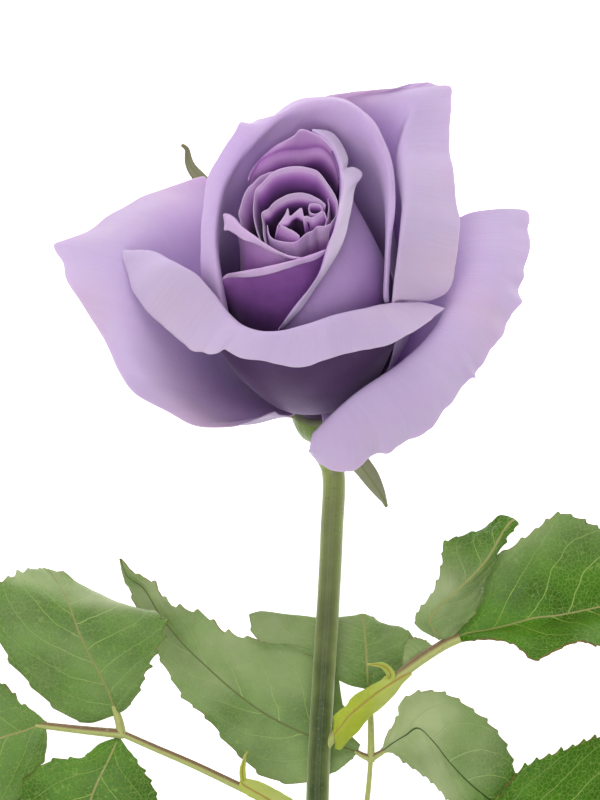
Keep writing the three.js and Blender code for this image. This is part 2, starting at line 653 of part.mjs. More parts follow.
// Leaves. Each has a petiole with its side leaflets, an end leaflet, and stipules at its foot.
const LEAVES = {
  leaf_left: {
    stalks: [
      [[0, -86, 10.6], [-6, -82, 13], [-16, -77, 16], [-28, -71, 18], [-40, -67.5, 19]],
      [[-39, -67.7, 19], [-48, -67, 18.6], [-57, -66.5, 17.6]],
    ],
    leaflets: [
      {
        rib: [
          [-40, -67.5, 19], [-44.5, -58, 22], [-49, -50, 22.6], [-52.5, -43.6, 19.5],
          [-54.5, -39.8, 13.5],
        ],
        halfWidth: 18.5,
        fold: 5,
        widest: 0.5,
        phase: 0.6,
      },
      {
        rib: [
          [-40.5, -68, 18.6], [-43, -79, 19], [-46, -91, 17.5], [-48, -103, 14], [-49, -111, 9],
        ],
        halfWidth: 14,
        fold: 10,
        phase: 2.1,
      },
      {
        rib: [
          [-56, -66.5, 17.8], [-66, -67, 17.6], [-78, -68.5, 16], [-90, -70, 12.5], [-99, -71, 7],
        ],
        halfWidth: 15,
        fold: 12,
        phase: 4,
      },
    ],
    stipules: [
      { rib: [[-0.5, -85.6, 11.6], [-7, -81.4, 14.2], [-13, -77.5, 16.2]], halfWidth: 2.2 },
      { rib: [[-7, -81.2, 13.6], [-11, -76.5, 16], [-13.6, -72, 18.4]], halfWidth: 1.5 },
    ],
  },
  leaf_back: {
    stalks: [
      [[0, -108, 9], [4, -101, 8], [7.5, -90, 7.5], [10.5, -73, 7.6]],
      [[10.5, -74, 7.6], [10.9, -66, 8], [10.7, -60, 8]],
    ],
    leaflets: [
      {
        rib: [
          [10.5, -72.6, 7.4], [-2, -68.7, 6], [-10.2, -63.6, 5], [-21, -54, 3.4],
          [-32.4, -43, 1.8], [-40.4, -32.2, 0.3],
        ],
        halfWidth: 12,
        fold: 8,
        phase: 1,
      },
      {
        rib: [[10.6, -73, 7.6], [18, -76, 10], [27, -81, 11.4], [36, -87, 10.4], [43, -92, 7.5]],
        halfWidth: 17,
        fold: 8,
        phase: 2.7,
      },
      {
        rib: [
          [10.7, -60.5, 8], [10.2, -56.5, 8.8], [9.6, -52, 8.8], [9.2, -48.4, 7.2], [9, -46, 4.4],
        ],
        up: [-0.31, 0, 0.95],
        halfWidth: 14,
        leftShare: 1.5,
        fold: 17,
        curl: 0.03,
        wave: 0.03,
        widest: 0.5,
        phase: 5.2,
      },
      {
        rib: [
          [6.6, -94, 7.4], [20, -92.5, 6], [34, -90, 5], [48, -87, 3.4], [62, -84, 1.6],
          [72, -82, 0.3],
        ],
        halfWidth: 14,
        fold: 7,
        phase: 3.3,
      },
      {
        rib: [
          [6.6, -94.6, 7.2], [-4, -97, 4.6], [-14, -101, 3.8], [-26, -107, 2.8], [-38, -113, 1.4],
          [-46, -117, 0.3],
        ],
        halfWidth: 13,
        fold: 6,
        phase: 0.2,
      },
    ],
    stipules: [{ rib: [[1, -106.4, 9], [5, -98.5, 8.4], [8, -89, 8.4]], halfWidth: 1.8 }],
  },
  leaf_right: {
    stalks: [
      [[0.8, -70, 11.6], [6, -63.5, 14.4], [13, -57, 17.4], [19, -52.4, 19.6], [24, -49.4, 20.6]],
    ],
    leaflets: [
      {
        rib: [
          [24.4, -49.2, 20.6], [30, -42.6, 22.8], [34.6, -36, 23.6], [38.6, -29.4, 22.4],
          [40.8, -23.6, 20.4],
        ],
        up: [-0.7, 0.4, 0.6],
        halfWidth: 10.5,
        fold: 46,
        curl: 0,
        phase: 1.4,
      },
      {
        rib: [
          [24, -49.4, 20.6], [36, -46, 22.4], [48, -43.5, 22.4], [60, -41.5, 20.6], [70, -40, 17],
          [76, -39.4, 13.4],
        ],
        up: [0, 0.6, 0.8],
        halfWidth: 20,
        fold: 36,
        curl: 0.02,
        phase: 3.8,
      },
      {
        rib: [[23.4, -50, 20.2], [20.5, -46, 17.6], [17.6, -41, 15.8], [15.6, -36.5, 15.2]],
        halfWidth: 4.6,
        fold: 14,
        teeth: 6,
      },
    ],
    stipules: [
      { rib: [[1.4, -69.2, 12.6], [7, -62.6, 15.4], [13.6, -56.4, 18.2]], halfWidth: 2.2 },
      { rib: [[6, -63, 14.6], [8.4, -57.4, 16.4], [6.4, -53.6, 18.4]], halfWidth: 1.3 },
    ],
  },
};

const STIPULE_BLADE = { fold: 20, curl: 0, wave: 0.12, teeth: 3, widest: 0.5, toothless: true };
const STALK_CUTS = { sides: 7, steps: 6 };

function leaf({ stalks, leaflets, stipules }) {
  const green = [
    ...stalks.map((points) => rod(points, STALK_RADII, STALK_CUTS.sides, STALK_CUTS.steps)),
    ...leaflets.map(leaflet),
    ...stipules.map((stipule) => bladeSolid({ ...STIPULE_BLADE, ...stipule })),
  ];
  return joined(green).subtract(stemRod(SEAT_GAP));
}

function finish(name, color, roughness) {
  const material = new THREE.MeshStandardMaterial({ color, roughness, metalness: 0 });
  material.name = name;
  return material;
}

const petalSkin = finish("petal", 0xc3aad6, 0.75);
const calyxSkin = finish("calyx_green", 0x6f8f3c, 0.6);
const stemSkin = finish("stem_green", 0x5b7440, 0.55);
const leafSkin = finish("leaf_green", 0x4f7f33, 0.5);

const rose = new THREE.Group();
rose.add(meshOf("bloom", bloom(), petalSkin));
rose.add(meshOf("calyx", calyx(), calyxSkin));
rose.add(meshOf("stem", stem(), stemSkin));
for (const [name, growth] of Object.entries(LEAVES)) rose.add(meshOf(name, leaf(growth), leafSkin));
rose.position.set(-OUTLINE_MIDDLE.x, -OUTLINE_MIDDLE.y, 0);

export default rose;
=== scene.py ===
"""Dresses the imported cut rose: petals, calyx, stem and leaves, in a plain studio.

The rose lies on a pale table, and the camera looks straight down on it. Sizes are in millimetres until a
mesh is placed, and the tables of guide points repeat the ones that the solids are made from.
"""

import logging
import math
from dataclasses import dataclass
from enum import Enum
from typing import Any

import bpy
import numpy as np
from bpy.types import Material, Node, NodeSocket, NodeTree, Object
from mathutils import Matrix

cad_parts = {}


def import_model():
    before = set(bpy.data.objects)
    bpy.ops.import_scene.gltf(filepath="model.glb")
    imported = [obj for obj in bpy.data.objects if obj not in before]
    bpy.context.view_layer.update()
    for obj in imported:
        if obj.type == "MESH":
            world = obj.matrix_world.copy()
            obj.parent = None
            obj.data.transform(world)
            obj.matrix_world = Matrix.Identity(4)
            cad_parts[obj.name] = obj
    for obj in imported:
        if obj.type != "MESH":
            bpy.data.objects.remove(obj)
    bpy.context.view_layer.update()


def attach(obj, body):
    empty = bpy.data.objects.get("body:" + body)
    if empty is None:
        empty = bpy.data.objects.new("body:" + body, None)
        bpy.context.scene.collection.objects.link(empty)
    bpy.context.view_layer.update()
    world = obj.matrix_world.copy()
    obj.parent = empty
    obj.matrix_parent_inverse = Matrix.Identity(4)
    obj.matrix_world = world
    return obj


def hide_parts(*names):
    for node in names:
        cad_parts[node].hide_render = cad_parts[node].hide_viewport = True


log = logging.getLogger("cut_rose")

Point = tuple[float, float, float]
Rows = tuple[tuple[Point, ...], ...]

MM = 0.001
GROUP_SHIFT = (11.5, 68.2, 0.0)  # from the guide points' origin to the middle of the outline
TABLE_CLEARANCE = 0.3  # of a petal's middle surface
CAMERA_SPOT = (-3.6, 0.4, 930.0)  # from the guide points' origin
READING_HEIGHT = 30.0  # height of the plane on which the guide points were read
SUN_SIDE = (0.0, 0.9, 0.44)  # the side of a shoot that grew towards the light
LENGTH_READS = 241  # places at which a curve is read to measure its length
TINY = 1e-9  # keeps a division by a length of nothing possible

GROWTH_MAP = "growth"  # the UV map: across the piece, and from its base to its tip
DEPTH_SHADE = "depth_shade"  # attribute: 0 at a petal's rim, 1 deep below it, where it is deeper violet, partly painted shade
TONE = "tone"  # attribute: how pale a leaflet is, a painted sheen for reflections of the bright surroundings
RIB = "rib"  # attribute: millimetres from a leaflet's midrib
EDGE = "edge"  # attribute: millimetres from its nearest edge
CREASE_SHADE = "crease_shade"  # attribute: how much painted shade darkens its midrib as a crease

SIDE_VEINS = 7  # pairs along a leaflet, about 7 mm apart
VEIN_REACH = 0.24  # how far towards the tip a side vein runs, as a share of the length
VEIN_HOOK = 0.1  # how much further it runs where it bends near the edge
VEIN_BEND = 3.5  # the power by which it bends

RAMPED = {"interpolation_type": "SMOOTHSTEP"}  # a range whose ends are soft
MIXED = {"data_type": "RGBA"}  # a mix of two colours
SCALED = {"operation": "MULTIPLY_ADD"}  # first times second plus third
TIMES = {"operation": "MULTIPLY"}
SOFT = {"subsurface_method": "RANDOM_WALK"}  # light that wanders under the skin


class Slot(Enum):
    """The record's material slots."""

    PETAL = "petal"
    CALYX = "calyx_green"
    STEM = "stem_green"
    LEAF = "leaf_green"


def linear(hex_colour: str) -> tuple[float, float, float, float]:
    """Turns an sRGB hex colour into the linear colour that shaders take.

    Args:
        hex_colour: Six hex digits after a hash sign.

    Returns:
        Red, green, blue and full alpha.
    """
    channels = [int(hex_colour[start:start + 2], 16) / 255 for start in (1, 3, 5)]
    red, green, blue = (
        value / 12.92 if value <= 0.04045 else ((value + 0.055) / 1.055) ** 2.4 for value in channels
    )
    return red, green, blue, 1.0


def add_node(
    tree: NodeTree,
    kind: str,
    settings: dict[str, Any] | None = None,
    inputs: dict[int | str, Any] | None = None,
) -> Node:
    """Adds a shader node with its settings, and links or fills its inputs.

    Args:
        tree: The node tree that it goes into.
        kind: Blender's name for the node's type, after the word ShaderNode.
        settings: Properties of the node and their values.
        inputs: For each socket, by name or number, the value to set or the output to link. A node stands
            for its first output that is in use.

    Returns:
        The new node.
    """
    node = tree.nodes.new(f"ShaderNode{kind}")
    for name, value in (settings or {}).items():
        setattr(node, name, value)
    for socket, value in (inputs or {}).items():
        if isinstance(value, Node):
            value = next(output for output in value.outputs if output.enabled)
        if isinstance(value, NodeSocket):
            tree.links.new(value, node.inputs[socket])
        else:
            node.inputs[socket].default_value = value
    return node


def new_material(name: str) -> tuple[Material, NodeTree]:
    """Starts a node material with nothing in its tree.

    Args:
        name: The material's name.

    Returns:
        The material and its empty node tree.
    """
    material = bpy.data.materials.new(name)
    material.use_nodes = True
    material.node_tree.nodes.clear()
    return material, material.node_tree


def through(points: np.ndarray, shares: np.ndarray) -> np.ndarray:
    """Reads places on smooth curves through guide points, all curves at once.

    Args:
        points: Guide points, as (points, curves, 3).
        shares: How far along each curve to read, from 0 to 1, as (reads, curves).

    Returns:
        The places, as (reads, curves, 3).
    """
    last = len(points) - 1
    ends = np.concatenate([2 * points[:1] - points[1:2], points, 2 * points[-1:] - points[-2:-1]])
    place = np.clip(shares, 0.0, 1.0) * last
    index = np.minimum(place.astype(int), last - 1)
    curve = np.arange(points.shape[1])
    before, start, end, after = (ends[index + step, curve] for step in range(4))
    weight = (place - index)[..., None]

    def span(first: np.ndarray, second: np.ndarray) -> np.ndarray:
        """Gives the centripetal spacing of two guide points."""
        return np.sqrt(np.maximum(np.linalg.norm(second - first, axis=-1, keepdims=True), TINY))

    spans = span(before, start), span(start, end), span(end, after)
    leave = (start - before) / spans[0] - (end - before) / (spans[0] + spans[1]) + (end - start) / spans[1]
    arrive = (end - start) / spans[1] - (after - start) / (spans[1] + spans[2]) + (after - end) / spans[2]
    leave, arrive = leave * spans[1], arrive * spans[1]
    square = 3 * (end - start) - 2 * leave - arrive
    cube = 2 * (start - end) + leave + arrive
    return start + weight * (leave + weight * (square + weight * cube))


def even_reads(points: np.ndarray, shares: np.ndarray) -> np.ndarray:
    """Finds where to read a smooth curve for places that are even by its own length.

    Args:
        points: Guide points, as (points, 3).
        shares: How far along the curve's length each place is, from 0 to 1.

    Returns:
        How far along its guide points each place is, from 0 to 1.
    """
    fine = np.linspace(0.0, 1.0, LENGTH_READS)
    trail = through(points[:, None], fine[:, None])[:, 0]
    run = np.concatenate([[0.0], np.cumsum(np.linalg.norm(np.diff(trail, axis=0), axis=1))])
    return np.interp(shares * run[-1], run, fine)


def evened(points: np.ndarray, shares: np.ndarray) -> np.ndarray:
    """Reads places on one smooth curve, evened out by its own length.

    Args:
        points: Guide points, as (points, 3).
        shares: How far along the curve's length to read, from 0 to 1.

    Returns:
        The places, as (reads, 3).
    """
    return through(points[:, None], even_reads(points, shares)[:, None])[:, 0]


def unit(vectors: np.ndarray) -> np.ndarray:
    """Scales vectors to a length of one."""
    return vectors / np.maximum(np.linalg.norm(vectors, axis=-1, keepdims=True), TINY)


def facing(places: np.ndarray) -> np.ndarray:
    """Gives the way that a sheet faces at each of its places.

    Args:
        places: The sheet's places, as (rows, columns, 3).

    Returns:
        Unit vectors of the same shape.
    """
    return unit(np.cross(np.gradient(places, axis=1), np.gradient(places, axis=0)))


def on_sight_lines(guides: Any) -> np.ndarray:
    """Slides leaf guides along the camera's sight lines to their own heights.

    Args:
        guides: (x, y, z) with x and y as read on the plane through the bloom's base.

    Returns:
        The places in millimetres, in the same arrangement.
    """
    places = np.array(guides, dtype=float)
    eye = np.array(CAMERA_SPOT)
    spread = (eye[2] - places[..., 2:]) / (eye[2] - READING_HEIGHT)
    places[..., :2] = eye[:2] + (places[..., :2] - eye[:2]) * spread
    return places


def leaf_marks(places: np.ndarray, tone: np.ndarray, crease_shade: float) -> dict[str, np.ndarray]:
    """Gives the marks that a leaf's skin reads.

    Args:
        places: The leaf's places, as (rows, columns, 3), with the rib in the middle column.
        tone: How pale its painted sheen is at each place.
        crease_shade: How much painted shade darkens its midrib as a crease.

    Returns:
        The named marks.
    """
    rows, columns = tone.shape
    steps = np.linalg.norm(np.diff(places, axis=1), axis=2)
    run = np.concatenate([np.zeros((rows, 1)), np.cumsum(steps, axis=1)], axis=1)
    from_rib = np.abs(run - run[:, columns // 2:columns // 2 + 1])
    from_edge = np.minimum(run, run[:, -1:] - run)
    return {TONE: tone, RIB: from_rib, EDGE: from_edge, CREASE_SHADE: np.full(tone.shape, crease_shade)}


def in_place(places: np.ndarray) -> np.ndarray:
    """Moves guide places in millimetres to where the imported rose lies, in metres."""
    return (places + np.array(GROUP_SHIFT)) * MM


@dataclass(frozen=True)
class Dress:
    """What a piece wears and stands for.

    Attributes:
        skins: Materials, the outer or upper one first.
        node: The CAD node that the piece replaces.
        slot: The record's slot that its finish comes from; not used.
    """

    skins: tuple[Material, ...]
    node: str
    slot: Slot

    def put_on(self, piece: Object) -> None:
        """Rides the piece on the rose and hides the CAD node that it stands for.

        Args:
            piece: The finished piece.
        """
        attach(piece, "root")
        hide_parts(self.node)
        triangles = sum(len(face.vertices) - 2 for face in piece.data.polygons)
        log.info("%s: %d triangles", piece.name, triangles)


@dataclass
class GrownSheet:
    """A net of places that becomes a mesh, as a sheet or wrapped to a tube.

    Attributes:
        name: The piece's name.
        places: Places in millimetres, as (rows, columns, 3).
        across: Each column's share across the piece.
        along: Each row's share from base to tip.
        marks: Named values at each place, for the materials.
    """

    name: str
    places: np.ndarray
    across: np.ndarray
    along: np.ndarray
    marks: dict[str, np.ndarray]

    RIM_ROWS = 0.08  # share of its length over which a thinner rim thickens
    MERGE_DISTANCE = 1e-6  # metres within which a tube's seam closes
    SHARP_EDGE = 50  # degrees from which an edge of a tube stays sharp

    def net(self, dress: Dress) -> Object:
        """Adds a grid and lays its corners on the places.

        Args:
            dress: What the piece wears.

        Returns:
            The open net, selected and active.
        """
        rows, columns = len(self.along), len(self.across)
        bpy.ops.object.select_all(action="DESELECT")
        bpy.ops.mesh.primitive_grid_add(x_subdivisions=columns - 1, y_subdivisions=rows - 1, size=1.0)
        piece = bpy.context.object
        piece.name = piece.data.name = self.name
        mesh = piece.data
        flat = np.empty(len(mesh.vertices) * 3)
        mesh.vertices.foreach_get("co", flat)
        flat = flat.reshape(-1, 3)
        column = np.rint((flat[:, 0] + 0.5) * (columns - 1)).astype(int)
        row = np.rint((flat[:, 1] + 0.5) * (rows - 1)).astype(int)
        mesh.vertices.foreach_set("co", in_place(self.places[row, column]).ravel())
        corners = np.empty(len(mesh.loops), dtype=int)
        mesh.loops.foreach_get("vertex_index", corners)
        layer = mesh.uv_layers[0]
        layer.name = GROWTH_MAP
        growth = np.stack([self.across[column], self.along[row]], axis=1)
        layer.data.foreach_set("uv", growth[corners].ravel())
        for mark, values in self.marks.items():
            attribute = mesh.attributes.new(mark, "FLOAT", "POINT")
            attribute.data.foreach_set("value", values[row, column].astype(np.float32))
        for skin in dress.skins:
            mesh.materials.append(skin)
        mesh.update()
        return piece

    def sheet(self, dress: Dress, thickness: float, levels: int, rim_share: float = 1.0) -> None:
        """Builds and dresses the piece as a closed sheet.

        Args:
            dress: What the piece wears; a second skin goes on the lower face.
            thickness: In millimetres.
            levels: Subdivision levels, 0 for none.
            rim_share: How much of its thickness the rim, its last rows, keeps.
        """
        piece = self.net(dress)
        wall = piece.modifiers.new("wall", "SOLIDIFY")
        wall.thickness = thickness * MM
        wall.offset = 0.0
        if rim_share < 1:
            body = piece.vertex_groups.new(name="body")
            growth = piece.data.uv_layers[GROWTH_MAP].data
            for loop in piece.data.loops:
                weight = min((1 - growth[loop.index].uv.y) / self.RIM_ROWS, 1.0)
                body.add([loop.vertex_index], weight, "REPLACE")
            wall.vertex_group = body.name
            wall.thickness_vertex_group = rim_share
        wall.material_offset = len(dress.skins) - 1
        bpy.ops.object.modifier_apply(modifier=wall.name)
        if levels:
            rounding = piece.modifiers.new("rounding", "SUBSURF")
            rounding.levels = rounding.render_levels = levels
            bpy.ops.object.modifier_apply(modifier=rounding.name)
        bpy.ops.object.shade_smooth()
        dress.put_on(piece)

    def tube(self, dress: Dress) -> Object:
        """Builds the piece as a closed tube, whose first and last columns are one seam.

        Args:
            dress: What the piece wears.

        Returns:
            The closed tube, not yet put on the rose.
        """
        piece = self.net(dress)
        bpy.ops.object.mode_set(mode="EDIT")
        bpy.ops.mesh.select_all(action="SELECT")
        bpy.ops.mesh.remove_doubles(threshold=self.MERGE_DISTANCE)
        bpy.ops.mesh.select_all(action="SELECT")
        bpy.ops.mesh.fill_holes(sides=0)
        bpy.ops.mesh.select_all(action="SELECT")
        bpy.ops.mesh.normals_make_consistent(inside=False)
        bpy.ops.object.mode_set(mode="OBJECT")
        bpy.ops.object.shade_smooth_by_angle(angle=math.radians(self.SHARP_EDGE))
        return piece


@dataclass(frozen=True)
class BloomFrame:
    """The bloom's own axes.

    Attributes:
        lean: Degrees that its axis leans to the left.
        rise: Degrees that its axis rises from the table.
        base: Where the petals grow.
    """

    lean: float = -4.2
    rise: float = 41.0
    base: Point = (0.0, 0.0, 30.0)

    def axes(self) -> tuple[np.ndarray, np.ndarray, np.ndarray]:
        """Gives the bloom's three ways.

        Returns:
            The axis out of the flower, the way to its right and the way to its back.
        """
        lean, rise = math.radians(self.lean), math.radians(self.rise)
        level = math.cos(lean)
        axis = np.array([math.sin(lean), level * math.cos(rise), level * math.sin(rise)])
        across = unit(np.array([1.0, 0.0, 0.0]) - axis[0] * axis)
        return axis, across, np.cross(axis, across)

    def places(self, guides: Any) -> np.ndarray:
        """Turns (azimuth, radius, height) guides into places.

        Args:
            guides: Guides with their three numbers last. Azimuth 0 is to the right, 90 behind.

        Returns:
            Places in millimetres, in the same arrangement.
        """
        azimuth, radius, height = np.moveaxis(np.asarray(guides, dtype=float), -1, 0)
        axis, across, behind = self.axes()
        turn = np.radians(azimuth)
        return (
            np.array(self.base)
            + height[..., None] * axis
            + (radius * np.cos(turn))[..., None] * across
            + (radius * np.sin(turn))[..., None] * behind
        )

    def seen_places(self, guides: Any) -> np.ndarray:
        """Turns (x, y, height) guides into places on the camera's sight lines.

        Args:
            guides: Guides with their three numbers last: x and y as read on the plane through the bloom's
                base, and the height on the bloom's axis.

        Returns:
            Places in millimetres, in the same arrangement.
        """
        guides = np.asarray(guides, dtype=float)
        axis = self.axes()[0]
        eye = np.array(CAMERA_SPOT)
        read = np.concatenate([guides[..., :2], np.full_like(guides[..., :1], READING_HEIGHT)], axis=-1)
        sight = read - eye
        share = (guides[..., 2] - (eye - np.array(self.base)) @ axis) / (sight @ axis)
        return eye + share[..., None] * sight

    def bearings(self, places: np.ndarray) -> tuple[np.ndarray, np.ndarray]:
        """Gives the azimuths in degrees and the radii of places.

        Args:
            places: Places in millimetres.

        Returns:
            The azimuths and the radii.
        """
        _, across, behind = self.axes()
        spoke = places - np.array(self.base)
        right, back = spoke @ across, spoke @ behind
        return np.degrees(np.arctan2(back, right)), np.hypot(right, back)


@dataclass(frozen=True)
class PetalSkin:
    """The finish of a petal.

    A living rose petal is a velvety skin of tiny domed cells: matt, with a faint sheen, slightly
    translucent, drawn with fine veins that fan from its claw to its rim.

    Attributes:
        name: The material's name.
        rim: Its colour at the rim.
        light: Its colour just below the rim.
        middle: Its colour half way down.
        deep: Its colour far down, partly painted shade.
        heart: Its colour at the foot, in full shade.
        blush: The colour of its warm patches.
        blush_weight: How strong they are.
        veins_across: Fine veins across it.
        blotch: Size in millimetres of its uneven tones.
        cell: Size in millimetres of its domed cells.
    """

    name: str
    rim: str
    light: str
    middle: str
    deep: str
    heart: str
    blush: str = "#d8b9c4"
    blush_weight: float = 0.36
    veins_across: float = 110.0  # so about two veins to a millimetre at the rim
    blotch: float = 9.0
    cell: float = 0.35  # real cells are a tenth of this, too fine to show

    STOPS = (0.10, 0.42, 0.74)  # depth at which it is light, middle and deep; the deeper stops are partly painted shade
    VEIN_RUN = 2.2  # how far the veins' pattern changes from claw to rim
    BROAD_VEIN = 6  # fine veins to a broad one
    WARM_SIZE = 2.3  # of a warm patch, in blotches

    def material(self) -> Material:
        """Builds the node material.

        Returns:
            The petal's material.
        """
        material, tree = new_material(self.name)
        depth_shade = add_node(tree, "Attribute", {"attribute_name": DEPTH_SHADE}).outputs["Fac"]
        place = add_node(tree, "TexCoord").outputs["Object"]
        growth = add_node(tree, "UVMap", {"uv_map": GROWTH_MAP})
        veins, broad_veins = (
            add_node(tree, "TexNoise", None, {
                "Vector": add_node(tree, "Mapping", None, {"Vector": growth, "Scale": scale}),
                "Scale": 1.0, "Detail": detail, "Roughness": roughness, "Distortion": distortion,
            })
            for scale, detail, roughness, distortion in (
                ((self.veins_across, self.VEIN_RUN, 1.0), 3.0, 0.6, 0.25),
                ((self.veins_across / self.BROAD_VEIN, self.VEIN_RUN / 2, 1.0), 2.0, 0.5, 0.3),
            )
        )
        blotches, cells, patches = (
            add_node(tree, "TexNoise", None, {"Vector": place, "Scale": 1 / (size * MM), "Detail": detail})
            for size, detail in ((self.blotch, 4.0), (self.cell, 1.0), (self.blotch * self.WARM_SIZE, 5.0))
        )

        wander = add_node(tree, "Math", SCALED, {0: blotches, 1: 0.2, 2: -0.1})
        depth = add_node(tree, "Math", {"operation": "ADD", "use_clamp": True}, {0: depth_shade, 1: wander})
        # the ramp from the rim's colour to the near-black heart paints the shade of folds and hollows as
        # well as the petal's own deeper violet
        shade = add_node(tree, "ValToRGB", None, {"Fac": depth})
        ramp = shade.color_ramp
        ramp.interpolation = "B_SPLINE"
        ramp.elements[0].color = linear(self.rim)
        ramp.elements[1].color = linear(self.heart)
        for stop, colour in zip(self.STOPS, (self.light, self.middle, self.deep)):
            ramp.elements.new(stop).color = linear(colour)

        blushing = add_node(tree, "MapRange", RAMPED, {
            "Value": patches, "From Min": 0.4, "From Max": 0.7, "To Max": self.blush_weight,
        })
        shallow = add_node(tree, "MapRange", None, {"Value": depth_shade, "From Min": 0.6, "From Max": 0.0})
        blush = add_node(tree, "Math", TIMES, {0: blushing, 1: shallow})
        warmed = add_node(tree, "Mix", MIXED, {0: blush, 6: shade, 7: linear(self.blush)})
        both_veins = add_node(tree, "Math", {"operation": "ADD"}, {0: veins, 1: broad_veins})
        vein_tone = add_node(tree, "MapRange", None, {
            "Value": both_veins, "From Min": 0.75, "From Max": 1.3, "To Min": 1.016, "To Max": 0.974,
        })
        colour = add_node(
            tree, "Mix", {**MIXED, "blend_type": "MULTIPLY"}, {0: 1.0, 6: warmed, 7: vein_tone}
        )
        ridges = add_node(tree, "Bump", None, {"Height": veins, "Strength": 0.35, "Distance": 0.25 * MM})
        relief = add_node(tree, "Bump", None, {
            "Height": cells, "Strength": 0.2, "Distance": 0.05 * MM, "Normal": ridges,
        })
        gloss = add_node(tree, "MapRange", None, {"Value": cells, "To Min": 0.5, "To Max": 0.72})
        skin = add_node(tree, "BsdfPrincipled", SOFT, {
            "Base Color": colour, "Roughness": gloss, "Normal": relief, "IOR": 1.4,
            "Specular IOR Level": 0.35, "Subsurface Weight": 0.35,
            "Subsurface Radius": (1.0, 0.55, 1.1), "Subsurface Scale": 0.9 * MM,
            "Sheen Weight": 0.25, "Sheen Roughness": 0.4, "Sheen Tint": linear("#eadff2"),
        })
        add_node(tree, "OutputMaterial", None, {"Surface": skin})
        return material


class PetalPart(Enum):
    """Where in the bloom a petal grows, which sets its finish."""

    OUTER = "outer"
    THROAT = "throat"
    HEART = "heart"


class LeafSide(Enum):
    """The two faces of a leaflet, the stipules and the sepals, by their materials' names."""

    FACE = "rose_leaf_face"
    BACK = "rose_leaf_back"
    STIPULE = "rose_stipule"
    SEPAL = "rose_sepal"


